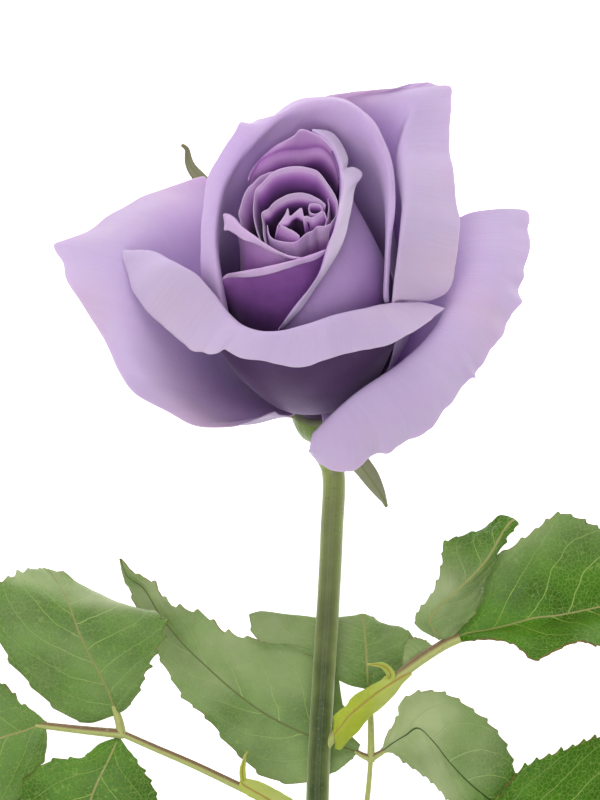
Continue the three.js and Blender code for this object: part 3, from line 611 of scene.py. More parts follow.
@dataclass(frozen=True)
class LeafSkin:
    """The finish of a leaflet, a stipule or a sepal.

    A rose leaflet is waxed and glossy above, with sunken pale veins and a fine net between them. Below it
    is paler and matt. A painted sheen, for reflected light, gives the upper face a grey-green veil in
    places.

    Attributes:
        side: Which of the leaf's faces it is.
        blade: The green of the blade in shade.
        sunlit: The green of its sunlit patches.
        veil: The colour of its painted sheen, a pale reflection of the bright surroundings.
        vein: The colour of its veins.
        midrib: The colour of its midrib.
        waxed_vein: The colour of its veins under the painted sheen.
        crease_shade: The colour of the painted shade in a midrib that is a crease.
        margin: The colour of its edge.
        roughness: Where it is glossiest.
        net_strength: How clearly the net between the veins shows.
        rib_width: Of the midrib, in millimetres on each side.
        margin_width: In millimetres.
        net: Size in millimetres of a mesh of the net.
        mottle: Size in millimetres of its sunlit patches.
        veil_patch: Size in millimetres of the patches in the painted sheen.
    """

    side: LeafSide
    blade: str
    sunlit: str
    veil: str
    vein: str
    midrib: str
    waxed_vein: str = "#b4c39a"
    crease_shade: str = "#3f5a26"
    margin: str = "#8a5a3a"
    roughness: float = 0.3
    net_strength: float = 0.42
    rib_width: float = 0.28
    margin_width: float = 0.22
    net: float = 0.95
    mottle: float = 9.0
    veil_patch: float = 15.0

    STAGGER = 0.42  # of a vein's spacing, between the two halves of the blade

    def material(self) -> Material:
        """Builds the node material.

        Returns:
            The material of this face.
        """
        material, tree = new_material(self.side.value)
        place = add_node(tree, "TexCoord").outputs["Object"]
        growth = add_node(tree, "UVMap", {"uv_map": GROWTH_MAP})
        parts = add_node(tree, "SeparateXYZ", None, {0: growth}).outputs
        mottle, veil_patches = (
            add_node(tree, "TexNoise", None, {"Vector": place, "Scale": 1 / (size * MM), "Detail": detail})
            for size, detail in ((self.mottle, 3.0), (self.veil_patch, 4.0))
        )
        tone_mark, from_rib, from_edge, crease_shade = (
            add_node(tree, "Attribute", {"attribute_name": mark}).outputs["Fac"]
            for mark in (TONE, RIB, EDGE, CREASE_SHADE)
        )

        shares: dict[str, Any] = {"across": parts["X"], "along": parts["Y"], "mottle": mottle}
        for name, operation, *operands in (
            ("signed", "MULTIPLY_ADD", "across", 2.0, -1.0),
            ("off_rib", "ABSOLUTE", "signed"),
            ("bend", "POWER", "off_rib", VEIN_BEND),
            ("climb", "MULTIPLY_ADD", "off_rib", -VEIN_REACH, "along"),
            ("curve", "MULTIPLY_ADD", "bend", -VEIN_HOOK, "climb"),
            ("half", "GREATER_THAN", "signed", 0.0),
            ("count", "MULTIPLY_ADD", "curve", float(SIDE_VEINS), 4.0),
            ("stagger", "MULTIPLY_ADD", "half", self.STAGGER, "count"),
            ("wander", "MULTIPLY_ADD", "mottle", 0.5, "stagger"),
            ("cycle", "FRACT", "wander"),
            ("off_middle", "SUBTRACT", "cycle", 0.5),
            ("off_vein", "ABSOLUTE", "off_middle"),
        ):
            inputs = {socket: shares.get(operand, operand) for socket, operand in enumerate(operands)}
            shares[name] = add_node(tree, "Math", {"operation": operation}, inputs)
        vein_width = add_node(
            tree, "MapRange", None, {"Value": shares["off_rib"], "To Min": 0.042, "To Max": 0.016}
        )
        side_vein = add_node(
            tree, "MapRange", RAMPED, {"Value": shares["off_vein"], "From Min": vein_width, "From Max": 0.0}
        )

        meshes = add_node(tree, "TexVoronoi", {"feature": "DISTANCE_TO_EDGE"}, {
            "Vector": place, "Scale": 1 / (self.net * MM),
        })
        net = add_node(tree, "MapRange", RAMPED, {"Value": meshes, "From Min": 0.09, "From Max": 0.0})
        patchy_veil = add_node(tree, "MapRange", None, {
            "Value": veil_patches, "From Min": 0.34, "From Max": 0.66, "To Min": 0.45, "To Max": 1.35,
        })
        # painted sheen: how pale each place is, from the leaflet's mark and the veil's patches
        tone = add_node(tree, "Math", {**TIMES, "use_clamp": True}, {0: tone_mark, 1: patchy_veil})
        rib = add_node(tree, "MapRange", RAMPED, {
            "Value": from_rib, "From Min": self.rib_width, "From Max": self.rib_width * 0.4,
        })
        net_tone = add_node(tree, "MapRange", None, {
            "Value": tone, "To Min": self.net_strength, "To Max": self.net_strength * 0.1,
        })
        faint_net = add_node(tree, "Math", TIMES, {0: net, 1: net_tone})
        veins = add_node(tree, "Math", {"operation": "MAXIMUM"}, {0: side_vein, 1: faint_net})
        sun = add_node(tree, "MapRange", None, {"Value": mottle, "From Min": 0.35, "From Max": 0.65})
        edge = add_node(tree, "MapRange", RAMPED, {
            "Value": from_edge, "From Min": self.margin_width, "From Max": 0.0, "To Max": 0.75,
        })

        layers: dict[str, Any] = {}
        for name, share, below, above in (
            ("green", sun, "blade", "sunlit"),
            # painted sheen: the pale veil over the green and the veins
            ("veiled", tone, "green", "veil"),
            ("vein_colour", tone, "vein", "waxed_vein"),
            ("veined", veins, "veiled", "vein_colour"),
            # painted shade: the midrib darkened as a crease
            ("rib_colour", crease_shade, "midrib", "crease_shade"),
            ("ribbed", rib, "veined", "rib_colour"),
            ("edged", edge, "ribbed", "margin"),
        ):
            under, over = (
                layers[layer] if layer in layers else linear(getattr(self, layer))
                for layer in (below, above)
            )
            layers[name] = add_node(tree, "Mix", MIXED, {0: share, 6: under, 7: over})
        relief = add_node(
            tree, "Bump", {"invert": self.side is LeafSide.FACE},
            {"Height": veins, "Strength": 0.5, "Distance": 0.25 * MM},
        )
        patchy = add_node(tree, "MapRange", None, {
            "Value": mottle, "From Min": 0.3, "From Max": 0.7,
            "To Min": self.roughness, "To Max": self.roughness + 0.12,
        })
        gloss = add_node(tree, "Math", SCALED, {0: tone, 1: 0.14, 2: patchy})
        skin = add_node(tree, "BsdfPrincipled", SOFT, {
            "Base Color": layers["edged"], "Roughness": gloss, "Normal": relief, "IOR": 1.45,
            "Specular IOR Level": 0.25, "Subsurface Weight": 0.15,
            "Subsurface Radius": (0.5, 1.0, 0.15), "Subsurface Scale": 0.6 * MM,
        })
        add_node(tree, "OutputMaterial", None, {"Surface": skin})
        return material


@dataclass(frozen=True)
class BarkSkin:
    """The finish of a green shoot.

    The rind of a rose shoot is smooth and faintly ribbed, with pale breathing pores, and the side that the
    sun reached is browner than the one below.

    Attributes:
        name: The material's name.
        shaded: Its colour away from the sun.
        sunny: Its colour towards the sun.
        painted_lift: Its colour towards the sun near the bloom, painted lighter where the bloom shades the
            shoot.
        speckle: The colour of its pores.
        sun_span: Where its sunny side starts and is full, as how far it faces the sun.
    """

    name: str
    shaded: str
    sunny: str
    painted_lift: str
    speckle: str
    sun_span: tuple[float, float] = (-0.1, 0.5)

    LIFT_UNTIL = 0.3  # share of the shoot, from its start under the bloom, in which its sunny side is painted lighter
    RIBS = 26.0  # around the shoot
    PORE = 0.7  # mm between pores
    PATCH = 6  # mm, of its uneven tones
    UNEVEN = 0.3  # how far the patches shift the edge of the sunny side

    def material(self) -> Material:
        """Builds the node material.

        Returns:
            The rind's material.
        """
        material, tree = new_material(self.name)
        place = add_node(tree, "TexCoord").outputs
        growth = add_node(tree, "UVMap", {"uv_map": GROWTH_MAP})
        parts = add_node(tree, "SeparateXYZ", None, {0: growth}).outputs
        height = add_node(
            tree, "VectorMath", {"operation": "DOT_PRODUCT"}, {0: place["Normal"], 1: SUN_SIDE}
        )
        pores, patches = (
            add_node(tree, "TexNoise", None, {
                "Vector": place["Object"], "Scale": 1 / (size * MM), "Detail": detail,
            })
            for size, detail in ((self.PORE, 4.0), (self.PATCH, 3.0))
        )
        uneven = add_node(tree, "Math", SCALED, {0: patches, 1: self.UNEVEN, 2: height})
        start, full = (level + self.UNEVEN / 2 for level in self.sun_span)
        sun = add_node(tree, "MapRange", RAMPED, {"Value": uneven, "From Min": start, "From Max": full})
        # painted light: near the bloom the sunny side is lighter, lifting the shade that the bloom casts on
        # the shoot
        away_from_bloom = add_node(tree, "MapRange", RAMPED, {"Value": parts["Y"], "From Max": self.LIFT_UNTIL})
        exposed = add_node(tree, "Mix", MIXED, {0: away_from_bloom, 6: linear(self.painted_lift), 7: linear(self.sunny)})
        rind = add_node(tree, "Mix", MIXED, {0: sun, 6: linear(self.shaded), 7: exposed})
        dots = add_node(
            tree, "MapRange", RAMPED, {"Value": pores, "From Min": 0.56, "From Max": 0.7, "To Max": 0.55}
        )
        dotted = add_node(tree, "Mix", MIXED, {0: dots, 6: rind, 7: linear(self.speckle)})
        furrow = add_node(tree, "Math", TIMES, {0: parts["X"], 1: 2 * math.pi * self.RIBS})
        ribs = add_node(tree, "Math", {"operation": "SINE"}, {0: furrow})
        rough = add_node(tree, "Math", SCALED, {0: pores, 1: 1.6, 2: ribs})
        relief = add_node(tree, "Bump", None, {"Height": rough, "Strength": 0.22, "Distance": 0.08 * MM})
        skin = add_node(tree, "BsdfPrincipled", None, {
            "Base Color": dotted, "Roughness": 0.38, "Normal": relief, "IOR": 1.45,
            "Specular IOR Level": 0.3, "Sheen Weight": 0.6, "Sheen Roughness": 0.35,
            "Sheen Tint": linear("#f2f5e4"),
        })
        add_node(tree, "OutputMaterial", None, {"Surface": skin})
        return material


@dataclass(frozen=True)
class PithSkin:
    """The finish of the cut face: moist, cream pith with darker fibres.

    Attributes:
        pith: Its colour between the fibres.
        fibre: Its colour along them.
        spacing: Millimetres from fibre to fibre.
    """

    pith: str = "#dfe0b4"
    fibre: str = "#8da05c"
    spacing: float = 0.35

    def material(self) -> Material:
        """Builds the node material.

        Returns:
            The cut face's material.
        """
        material, tree = new_material("rose_stem_pith")
        place = add_node(tree, "TexCoord").outputs["Object"]
        fibres = add_node(
            tree, "TexVoronoi", {"feature": "F1"}, {"Vector": place, "Scale": 1 / (self.spacing * MM)}
        )
        grain = add_node(tree, "Mix", MIXED, {0: fibres, 6: linear(self.pith), 7: linear(self.fibre)})
        relief = add_node(tree, "Bump", None, {"Height": fibres, "Strength": 0.4, "Distance": 0.08 * MM})
        skin = add_node(tree, "BsdfPrincipled", None, {
            "Base Color": grain, "Roughness": 0.42, "Normal": relief, "IOR": 1.4,
        })
        add_node(tree, "OutputMaterial", None, {"Surface": skin})
        return material


def claw(start: float, end: float) -> tuple[Point, ...]:
    """Gives the row of guides where a petal grows out of the receptacle.

    Args:
        start: Azimuth of the row's start.
        end: Azimuth of its end.

    Returns:
        Three guides on a small circle.
    """
    radius, height = 3.5, 1.0
    return tuple((azimuth, radius, height) for azimuth in (start, (start + end) / 2, end))


@dataclass(frozen=True)
class Petal:
    """One petal, through rows of (azimuth, radius, height) guides from its claw to its rim.

    Attributes:
        name: The piece's name.
        rows: The rows of guides.
        columns: Mesh columns before subdivision.
        steps: Mesh rows before subdivision.
        fade: Millimetres below the rim in which lavender turns to violet, partly painted shade.
        ripple: Millimetres by which the rim waves.
        ripples: Waves along the rim.
        ragged: Millimetres by which the rim is uneven.
        seen: Further rows, the rim last, as (x, y, height) guides on the camera's sight lines.
        band: Millimetres of even pale colour at the rim.
        shades: How deep its colour is, partly painted shade, as (share of its length, depth) pairs; empty
            to let fade set it.
        skin: Which finish it has.
        thickness: In millimetres.
    """

    name: str
    rows: Rows
    columns: int = 40
    steps: int = 30
    fade: float = 58.0
    ripple: float = 0.35
    ripples: float = 4.0
    ragged: float = 0.25
    seen: Rows = ()
    band: float = 0.0
    shades: tuple[tuple[float, float], ...] = ()
    skin: PetalPart = PetalPart.OUTER
    thickness: float = 0.42

    RIM_THICKNESS = 0.45  # share of the thickness
    NICKS = ((9.7, 0.3), (6.1, 1.9), (3.7, 4.2), (2.3, 0.7))  # wave lengths in mm and phases
    NICKED = 0.25  # share of the length, from the rim, that the nicks pull on
    WAVES = ((1.0, 1.0, 0.0), (0.6, 1.7, 1.0), (0.35, 3.1, 2.0))  # strengths, rates and phases
    RIPPLE_REACH = 6  # the power by which the ripples fade below the rim

    def surface(self, frame: BloomFrame) -> GrownSheet:
        """Lays the petal's places.

        Args:
            frame: The bloom's axes.

        Returns:
            The petal as a net of places.
        """
        across = np.linspace(0.0, 1.0, self.columns + 1)
        along = np.linspace(0.0, 1.0, self.steps + 1)[:, None]
        rows = [frame.places(row) for row in self.rows] + [frame.seen_places(row) for row in self.seen]
        guides = np.stack([evened(row, across) for row in rows])
        rim_reach = np.linalg.norm(guides[-1] - guides[-2], axis=1) * (len(rows) - 1)
        rim_length = np.sum(np.linalg.norm(np.diff(guides[-1], axis=0), axis=1))
        bite = np.zeros_like(across)
        for length, phase in self.NICKS:
            turn = 2 * math.pi * across * rim_length / length + phase
            bite += self.ragged / len(self.NICKS) * np.sin(turn)
        cut = bite / np.maximum(rim_reach, 1.0)
        pull = np.clip((along - (1 - self.NICKED)) / self.NICKED, 0.0, 1.0) ** 2
        places = through(guides, along - cut * pull)
        turn = 2 * math.pi * self.ripples * across + sum(ord(letter) for letter in self.name)
        waves = sum(strength * np.sin(rate * turn + phase) for strength, rate, phase in self.WAVES)
        lift = self.ripple * waves * along ** self.RIPPLE_REACH
        places = places + facing(places) * lift[..., None]
        places[..., 2] = np.maximum(places[..., 2], TABLE_CLEARANCE)
        steps = np.linalg.norm(np.diff(places, axis=0), axis=2)
        below_rim = np.concatenate([np.cumsum(steps[::-1], axis=0)[::-1], np.zeros((1, len(across)))])
        # deeper violet below the rim, partly the petal's own colour and partly painted shade
        depth_shade = 1 - np.exp(-np.maximum(below_rim - self.band, 0.0) / self.fade)
        if self.shades:
            shares, levels = zip(*self.shades)
            depth_shade = np.repeat(np.interp(along, shares, levels), len(across), axis=1)
        return GrownSheet(self.name, places, across, along[:, 0], {DEPTH_SHADE: depth_shade})

    def build(self, frame: BloomFrame, dress: Dress) -> None:
        """Builds and dresses the petal.

        Args:
            frame: The bloom's axes.
            dress: What it wears.
        """
        self.surface(frame).sheet(dress, self.thickness, 1, self.RIM_THICKNESS)


@dataclass(frozen=True)
class HeartPetal:
    """A small petal of the heart, hung from its rim.

    Attributes:
        name: The piece's name.
        rim: The rim's (x, y, height) guides on the camera's sight lines.
        lean: Millimetres that the rim stands out from the wall below it.
        band: Millimetres of even pale colour at the rim.
        fade: Millimetres below that in which lavender turns to violet and near-black, partly painted shade.
        wall_drop: Millimetres below the rim at which the wall's guides lie.
        hem: Where its pale tip ends above the painted shade of the hollow, as (x, y, height) guides; empty
            where band and fade set that.
    """

    name: str
    rim: tuple[Point, ...]
    lean: float = 0.2
    band: float = 0.4
    fade: float = 3.4
    wall_drop: float = 7.0
    hem: tuple[Point, ...] = ()

    FOOT_SHARE = 0.72  # of the rim's radius
    FOOT_HEIGHT = 24.0
    CORE_RADIUS = 0.3  # the wall comes no nearer to the axis
    # pale above the hem, then near-black: painted shade of the hollow below the tips
    HEM_SHADES = ((0, 1), (0.6, 1), (0.67, 0.4), (0.71, 0.05), (1, 0))

    def petal(self, frame: BloomFrame) -> Petal:
        """Gives the petal with its foot, wall and rim.

        Args:
            frame: The bloom's axes.

        Returns:
            The petal.
        """
        seen = (self.hem, self.rim) if self.hem else (self.rim,)
        bearings = list(zip(*frame.bearings(frame.seen_places(seen[0]))))
        foot = tuple((azimuth, radius * self.FOOT_SHARE, self.FOOT_HEIGHT) for azimuth, radius in bearings)
        wall = tuple(
            (azimuth, max(radius - self.lean, self.CORE_RADIUS), guide[2] - self.wall_drop)
            for (azimuth, radius), guide in zip(bearings, seen[0])
        )
        return Petal(
            self.name, (foot, wall), columns=44, steps=24, band=self.band, fade=self.fade, ripple=0.05,
            ripples=2.5, ragged=0.1, seen=seen, shades=self.HEM_SHADES if self.hem else (),
            skin=PetalPart.HEART, thickness=0.32,
        )


OUTER_PETALS = (
    Petal("petal_front", (
        claw(235, 305),
        ((213, 12.5, 9), (242, 14, 9.5), (270, 14, 9.5), (298, 14, 9.5), (325, 13, 9.5)),
        ((190, 21, 27), (226, 21.8, 25), (258, 22, 24), (290, 22, 25), (322, 21.5, 26)),
        (
            (176, 28, 38.5), (192, 24.5, 41.4), (202, 22.4, 41.6), (214, 21, 39), (226, 21.2, 37),
            (240, 22.6, 36.8), (258, 23.3, 38.2), (290, 22, 40), (320, 20.8, 35.5), (338, 22.5, 31),
        ),
    ), columns=64, seen=((
        (-39.5, 30.6, 36), (-39.4, 28.8, 35.2), (-38.2, 24.9, 33.6), (-35.6, 20, 31.4), (-31.7, 15.5, 30.6),
        (-27.9, 12.3, 30.6), (-24.6, 9.7, 31), (-23.4, 10.2, 31.3), (-21.7, 9.2, 31.8), (-19.6, 10, 32.6),
        (-18.8, 10.7, 32.9), (-17.6, 9.7, 33.2), (-15.6, 8.8, 33.6), (-11.6, 8.2, 34), (-3.6, 6.8, 33.6),
        (0.4, 7.8, 34.2), (4.4, 9.3, 34.6), (12.2, 10.9, 34), (16.4, 12.4, 33), (21.4, 15.4, 31),
        (25.6, 18.8, 29),
    ),), shades=(
        # painted shadow: darkest on the belly just under the rolled-over rim
        (0, 0.78), (0.25, 0.86), (0.5, 0.99), (0.64, 0.94), (0.7, 0.6), (0.74, 0.28), (0.8, 0.22),
        (1, 0.14),
    ), ragged=0.4),
    Petal("petal_left", (
        claw(150, 220),
        ((135, 14, 10), (160, 16, 9), (190, 16.5, 8.5), (220, 16, 8), (245, 11.5, 5.8)),
        ((129, 24, 26), (150, 26, 26), (175, 26.5, 24), (208, 26.5, 16), (230, 23, 11), (246, 14.5, 8.5)),
        ((127, 29, 34), (147, 33, 37), (170, 37, 34), (203, 36, 24.5), (228, 30, 16), (246, 17, 10.8)),
    ), columns=64, seen=((
        (-22.6, 45.4, 39.6), (-29.8, 43.2, 38), (-34.3, 41.4, 37), (-38.2, 39.1, 36.2), (-42.7, 36.8, 35.2),
        (-46.6, 34, 34.2), (-51.1, 32.5, 33.2), (-53.4, 32, 32.8), (-53.3, 31.2, 32.5), (-52.4, 29.7, 32.1),
        (-50.8, 27.4, 31.5), (-50.8, 25.5, 31), (-47.2, 19.4, 29.2), (-42.7, 12.3, 27), (-40.1, 6.5, 25),
        (-37.2, 1.6, 23.2), (-33, -0.6, 21.6), (-27.9, -2.6, 19.6), (-23.4, -5, 17.8), (-19.5, -5.3, 16.4),
        (-15.6, -5, 15), (-11.4, -3, 13.4), (-8.4, -1.8, 12.4),
    ),), ragged=0.35),
    Petal("petal_right", (
        claw(-80, 10),
        ((-84, 12, 4.5), (-60, 14.5, 8), (-35, 15.5, 9), (-8, 16, 9.5), (18, 15.5, 10)),
        ((-88, 20, 9.5), (-65, 21, 15), (-40, 23, 17.5), (-12, 24.5, 18.5), (24, 25, 20)),
        (
            (-90.5, 24.5, 12.9), (-69, 24.8, 21.5), (-44, 25.5, 24.6), (-20, 27, 26), (-1, 29, 27.6),
            (15, 31, 30), (28, 34, 32),
        ),
        (
            (-92.5, 27, 10.8), (-72, 28.5, 14), (-50, 30.5, 18.5), (-24, 32.5, 22.5), (2, 37, 27),
            (16, 39.5, 29.5), (27, 42, 31.5),
        ),
    ), columns=110, seen=((
        (-2, -9.4, 9), (-1.8, -10.6, 8.5), (0, -12.2, 7.5), (2.4, -13.4, 6.6), (5.6, -13.8, 6.1),
        (7.6, -13.4, 6.1), (9, -12.5, 6.5), (10.4, -11.4, 7), (12.2, -10.7, 7.4), (14, -10.7, 7.8),
        (16.4, -8.9, 8.7), (18, -7.8, 9.2), (21.3, -6.2, 10.8), (23.6, -4.5, 12), (25, -1.3, 13.6),
        (26.4, -0.6, 14.2), (28.8, 2.5, 15.6), (30.6, 4.1, 16.3), (32.2, 4.5, 16.8), (31.6, 5.9, 17),
        (32.8, 7.6, 17.8), (34.8, 10.9, 19), (36.9, 13.2, 19.9), (38.1, 16, 20.6), (40.3, 19, 21.4),
        (41.3, 20.2, 21.8), (40.3, 22.4, 22.4), (41.2, 24.5, 23.2), (41.2, 27.7, 24.2), (42.1, 30.1, 25),
        (43, 32.4, 25.8), (42.1, 34.6, 26.8), (42.6, 36.1, 27.4), (42.2, 38.3, 28.3), (41.3, 38.6, 28.7),
    ),), ragged=0.7),
    Petal("petal_right_back", (
        claw(-10, 80),
        ((-30, 14, 9), (0, 15.2, 10), (30, 15.5, 10.5), (65, 15.5, 10.5), (95, 15, 10)),
        ((-36, 20.5, 24), (-10, 21.5, 27), (20, 22.5, 29), (48, 24, 31), (75, 24, 31), (100, 23.5, 30)),
        (
            (-35, 20.8, 34.5), (-14, 19.8, 45.5), (8, 20.4, 49), (39, 25.4, 51), (48, 33, 55),
            (62, 28.5, 54.5), (80, 25.5, 53), (100, 24.5, 49),
        ),
    ), columns=64, seen=((
        (22.4, 19.8, 30), (24.4, 20.6, 30.5), (26, 22, 31.4), (26.6, 23.8, 32.4), (27.6, 28, 35),
        (28.4, 32.4, 38), (28.5, 37.4, 41), (27.6, 41.4, 43.4), (26.8, 47.4, 46), (26.5, 54.4, 49),
        (26.7, 60.4, 51.2), (26.6, 63, 52), (25.6, 63.3, 52.6), (24, 63.3, 53.4), (22.4, 64.1, 54.4),
        (21.6, 63.6, 54.6), (18.4, 63.4, 55.8), (12.4, 62.8, 57), (6.4, 62, 57), (1.4, 61.4, 56),
    ),), ragged=0.2),
    Petal("petal_back_right", (
        claw(25, 90),
        ((22, 17, 6.5), (48, 18, 6), (76, 18, 6), (101, 16, 6)),
        ((20, 31, 14), (48, 35, 12), (76, 35, 12), (104, 29, 13)),
        ((22, 40, 18), (46, 48, 12), (64, 52, 9.5), (80, 48, 11), (104, 38, 15)),
        ((27, 45, 14), (44, 56, 6), (60, 61, 3), (78, 56, 3), (101, 43, 11)),
    )),
    Petal("petal_back_left", (
        claw(132, 190),
        ((128, 17, 5.5), (144, 18, 5), (166, 18, 4.5), (192, 17, 4.5)),
        ((115, 31, 12), (138, 33, 11), (163, 31, 10.5), (190, 27, 10)),
        ((110, 43, 14), (124, 50, 10), (140, 46, 11), (162, 40, 13), (188, 34, 13.5)),
        ((110, 54, 6), (121, 60, 3), (138, 56, 5), (160, 46, 8.5), (183, 37, 11)),
    )),
    Petal("petal_hood", (
        claw(30, 170),
        ((205, 13, 10), (165, 13.3, 10), (125, 13.5, 10), (85, 13.5, 10), (45, 13.3, 10), (5, 12.5, 10)),
        (
            (211, 19, 24), (175, 18.6, 26), (135, 19.5, 28), (95, 20, 28), (60, 19.8, 28), (25, 18.8, 28),
            (-10, 17.6, 27),
        ),
        (
            (213, 17.8, 28), (178, 16.8, 38.5), (140, 18, 47.5), (106, 19, 52), (73, 19.8, 53),
            (45, 18.8, 51), (20, 17.6, 45), (-14, 16.8, 36.5),
        ),
    ), columns=76, seen=(
        (
            (-18.6, 16.4, 31.5), (-19.8, 22.4, 36.5), (-20.6, 29.4, 42), (-20.8, 34.2, 45),
            (-20.2, 39.2, 47.6), (-18.8, 44.8, 50.4), (-16.6, 48.6, 52.6), (-14, 52, 54.6),
            (-11, 54.8, 56.8), (-7.4, 57.4, 58.6), (-4, 59, 59.6), (0, 59.7, 60), (4, 59.6, 60),
            (7.4, 58, 59.2), (10.6, 54.4, 57.2), (13.2, 49, 53.8), (14.1, 44, 50.6), (14.1, 37.4, 46.6),
            (13.7, 29.4, 41.2), (13.3, 19.8, 33.2),
        ),
        (
            (-19.2, 14.8, 29), (-21.2, 19.4, 32.6), (-22.6, 23.2, 35.7), (-23.4, 29.4, 40.6),
            (-23.8, 34, 43.6), (-23.2, 38.8, 46.2), (-22, 45.2, 49), (-19.4, 49.8, 51.6),
            (-17.2, 52.6, 53.2), (-16.2, 54.2, 54.2), (-15.6, 56.3, 55.4), (-14.8, 55.8, 55.2),
            (-13.4, 55.5, 54.8), (-12.4, 56.9, 55.2), (-10.2, 56.8, 55), (-9.2, 57.9, 56),
            (-7.2, 59.2, 57.4), (-4.4, 60.2, 58.4), (-1.2, 60.7, 59), (2.4, 60.8, 59.4), (6, 60.2, 59.4),
            (9, 58.4, 58.4), (12, 55, 56.8), (14.6, 49.2, 53.7), (15.4, 44.4, 50.5), (15.2, 37.4, 46.4),
            (14.6, 29.4, 41), (14.2, 19.8, 33),
        ),
    ), shades=((0, 1), (0.28, 0.74), (0.4, 0.42), (0.5, 0.22), (0.62, 0.1), (0.8, 0.16), (1, 0.14)),
        ragged=0.3, skin=PetalPart.THROAT),
)

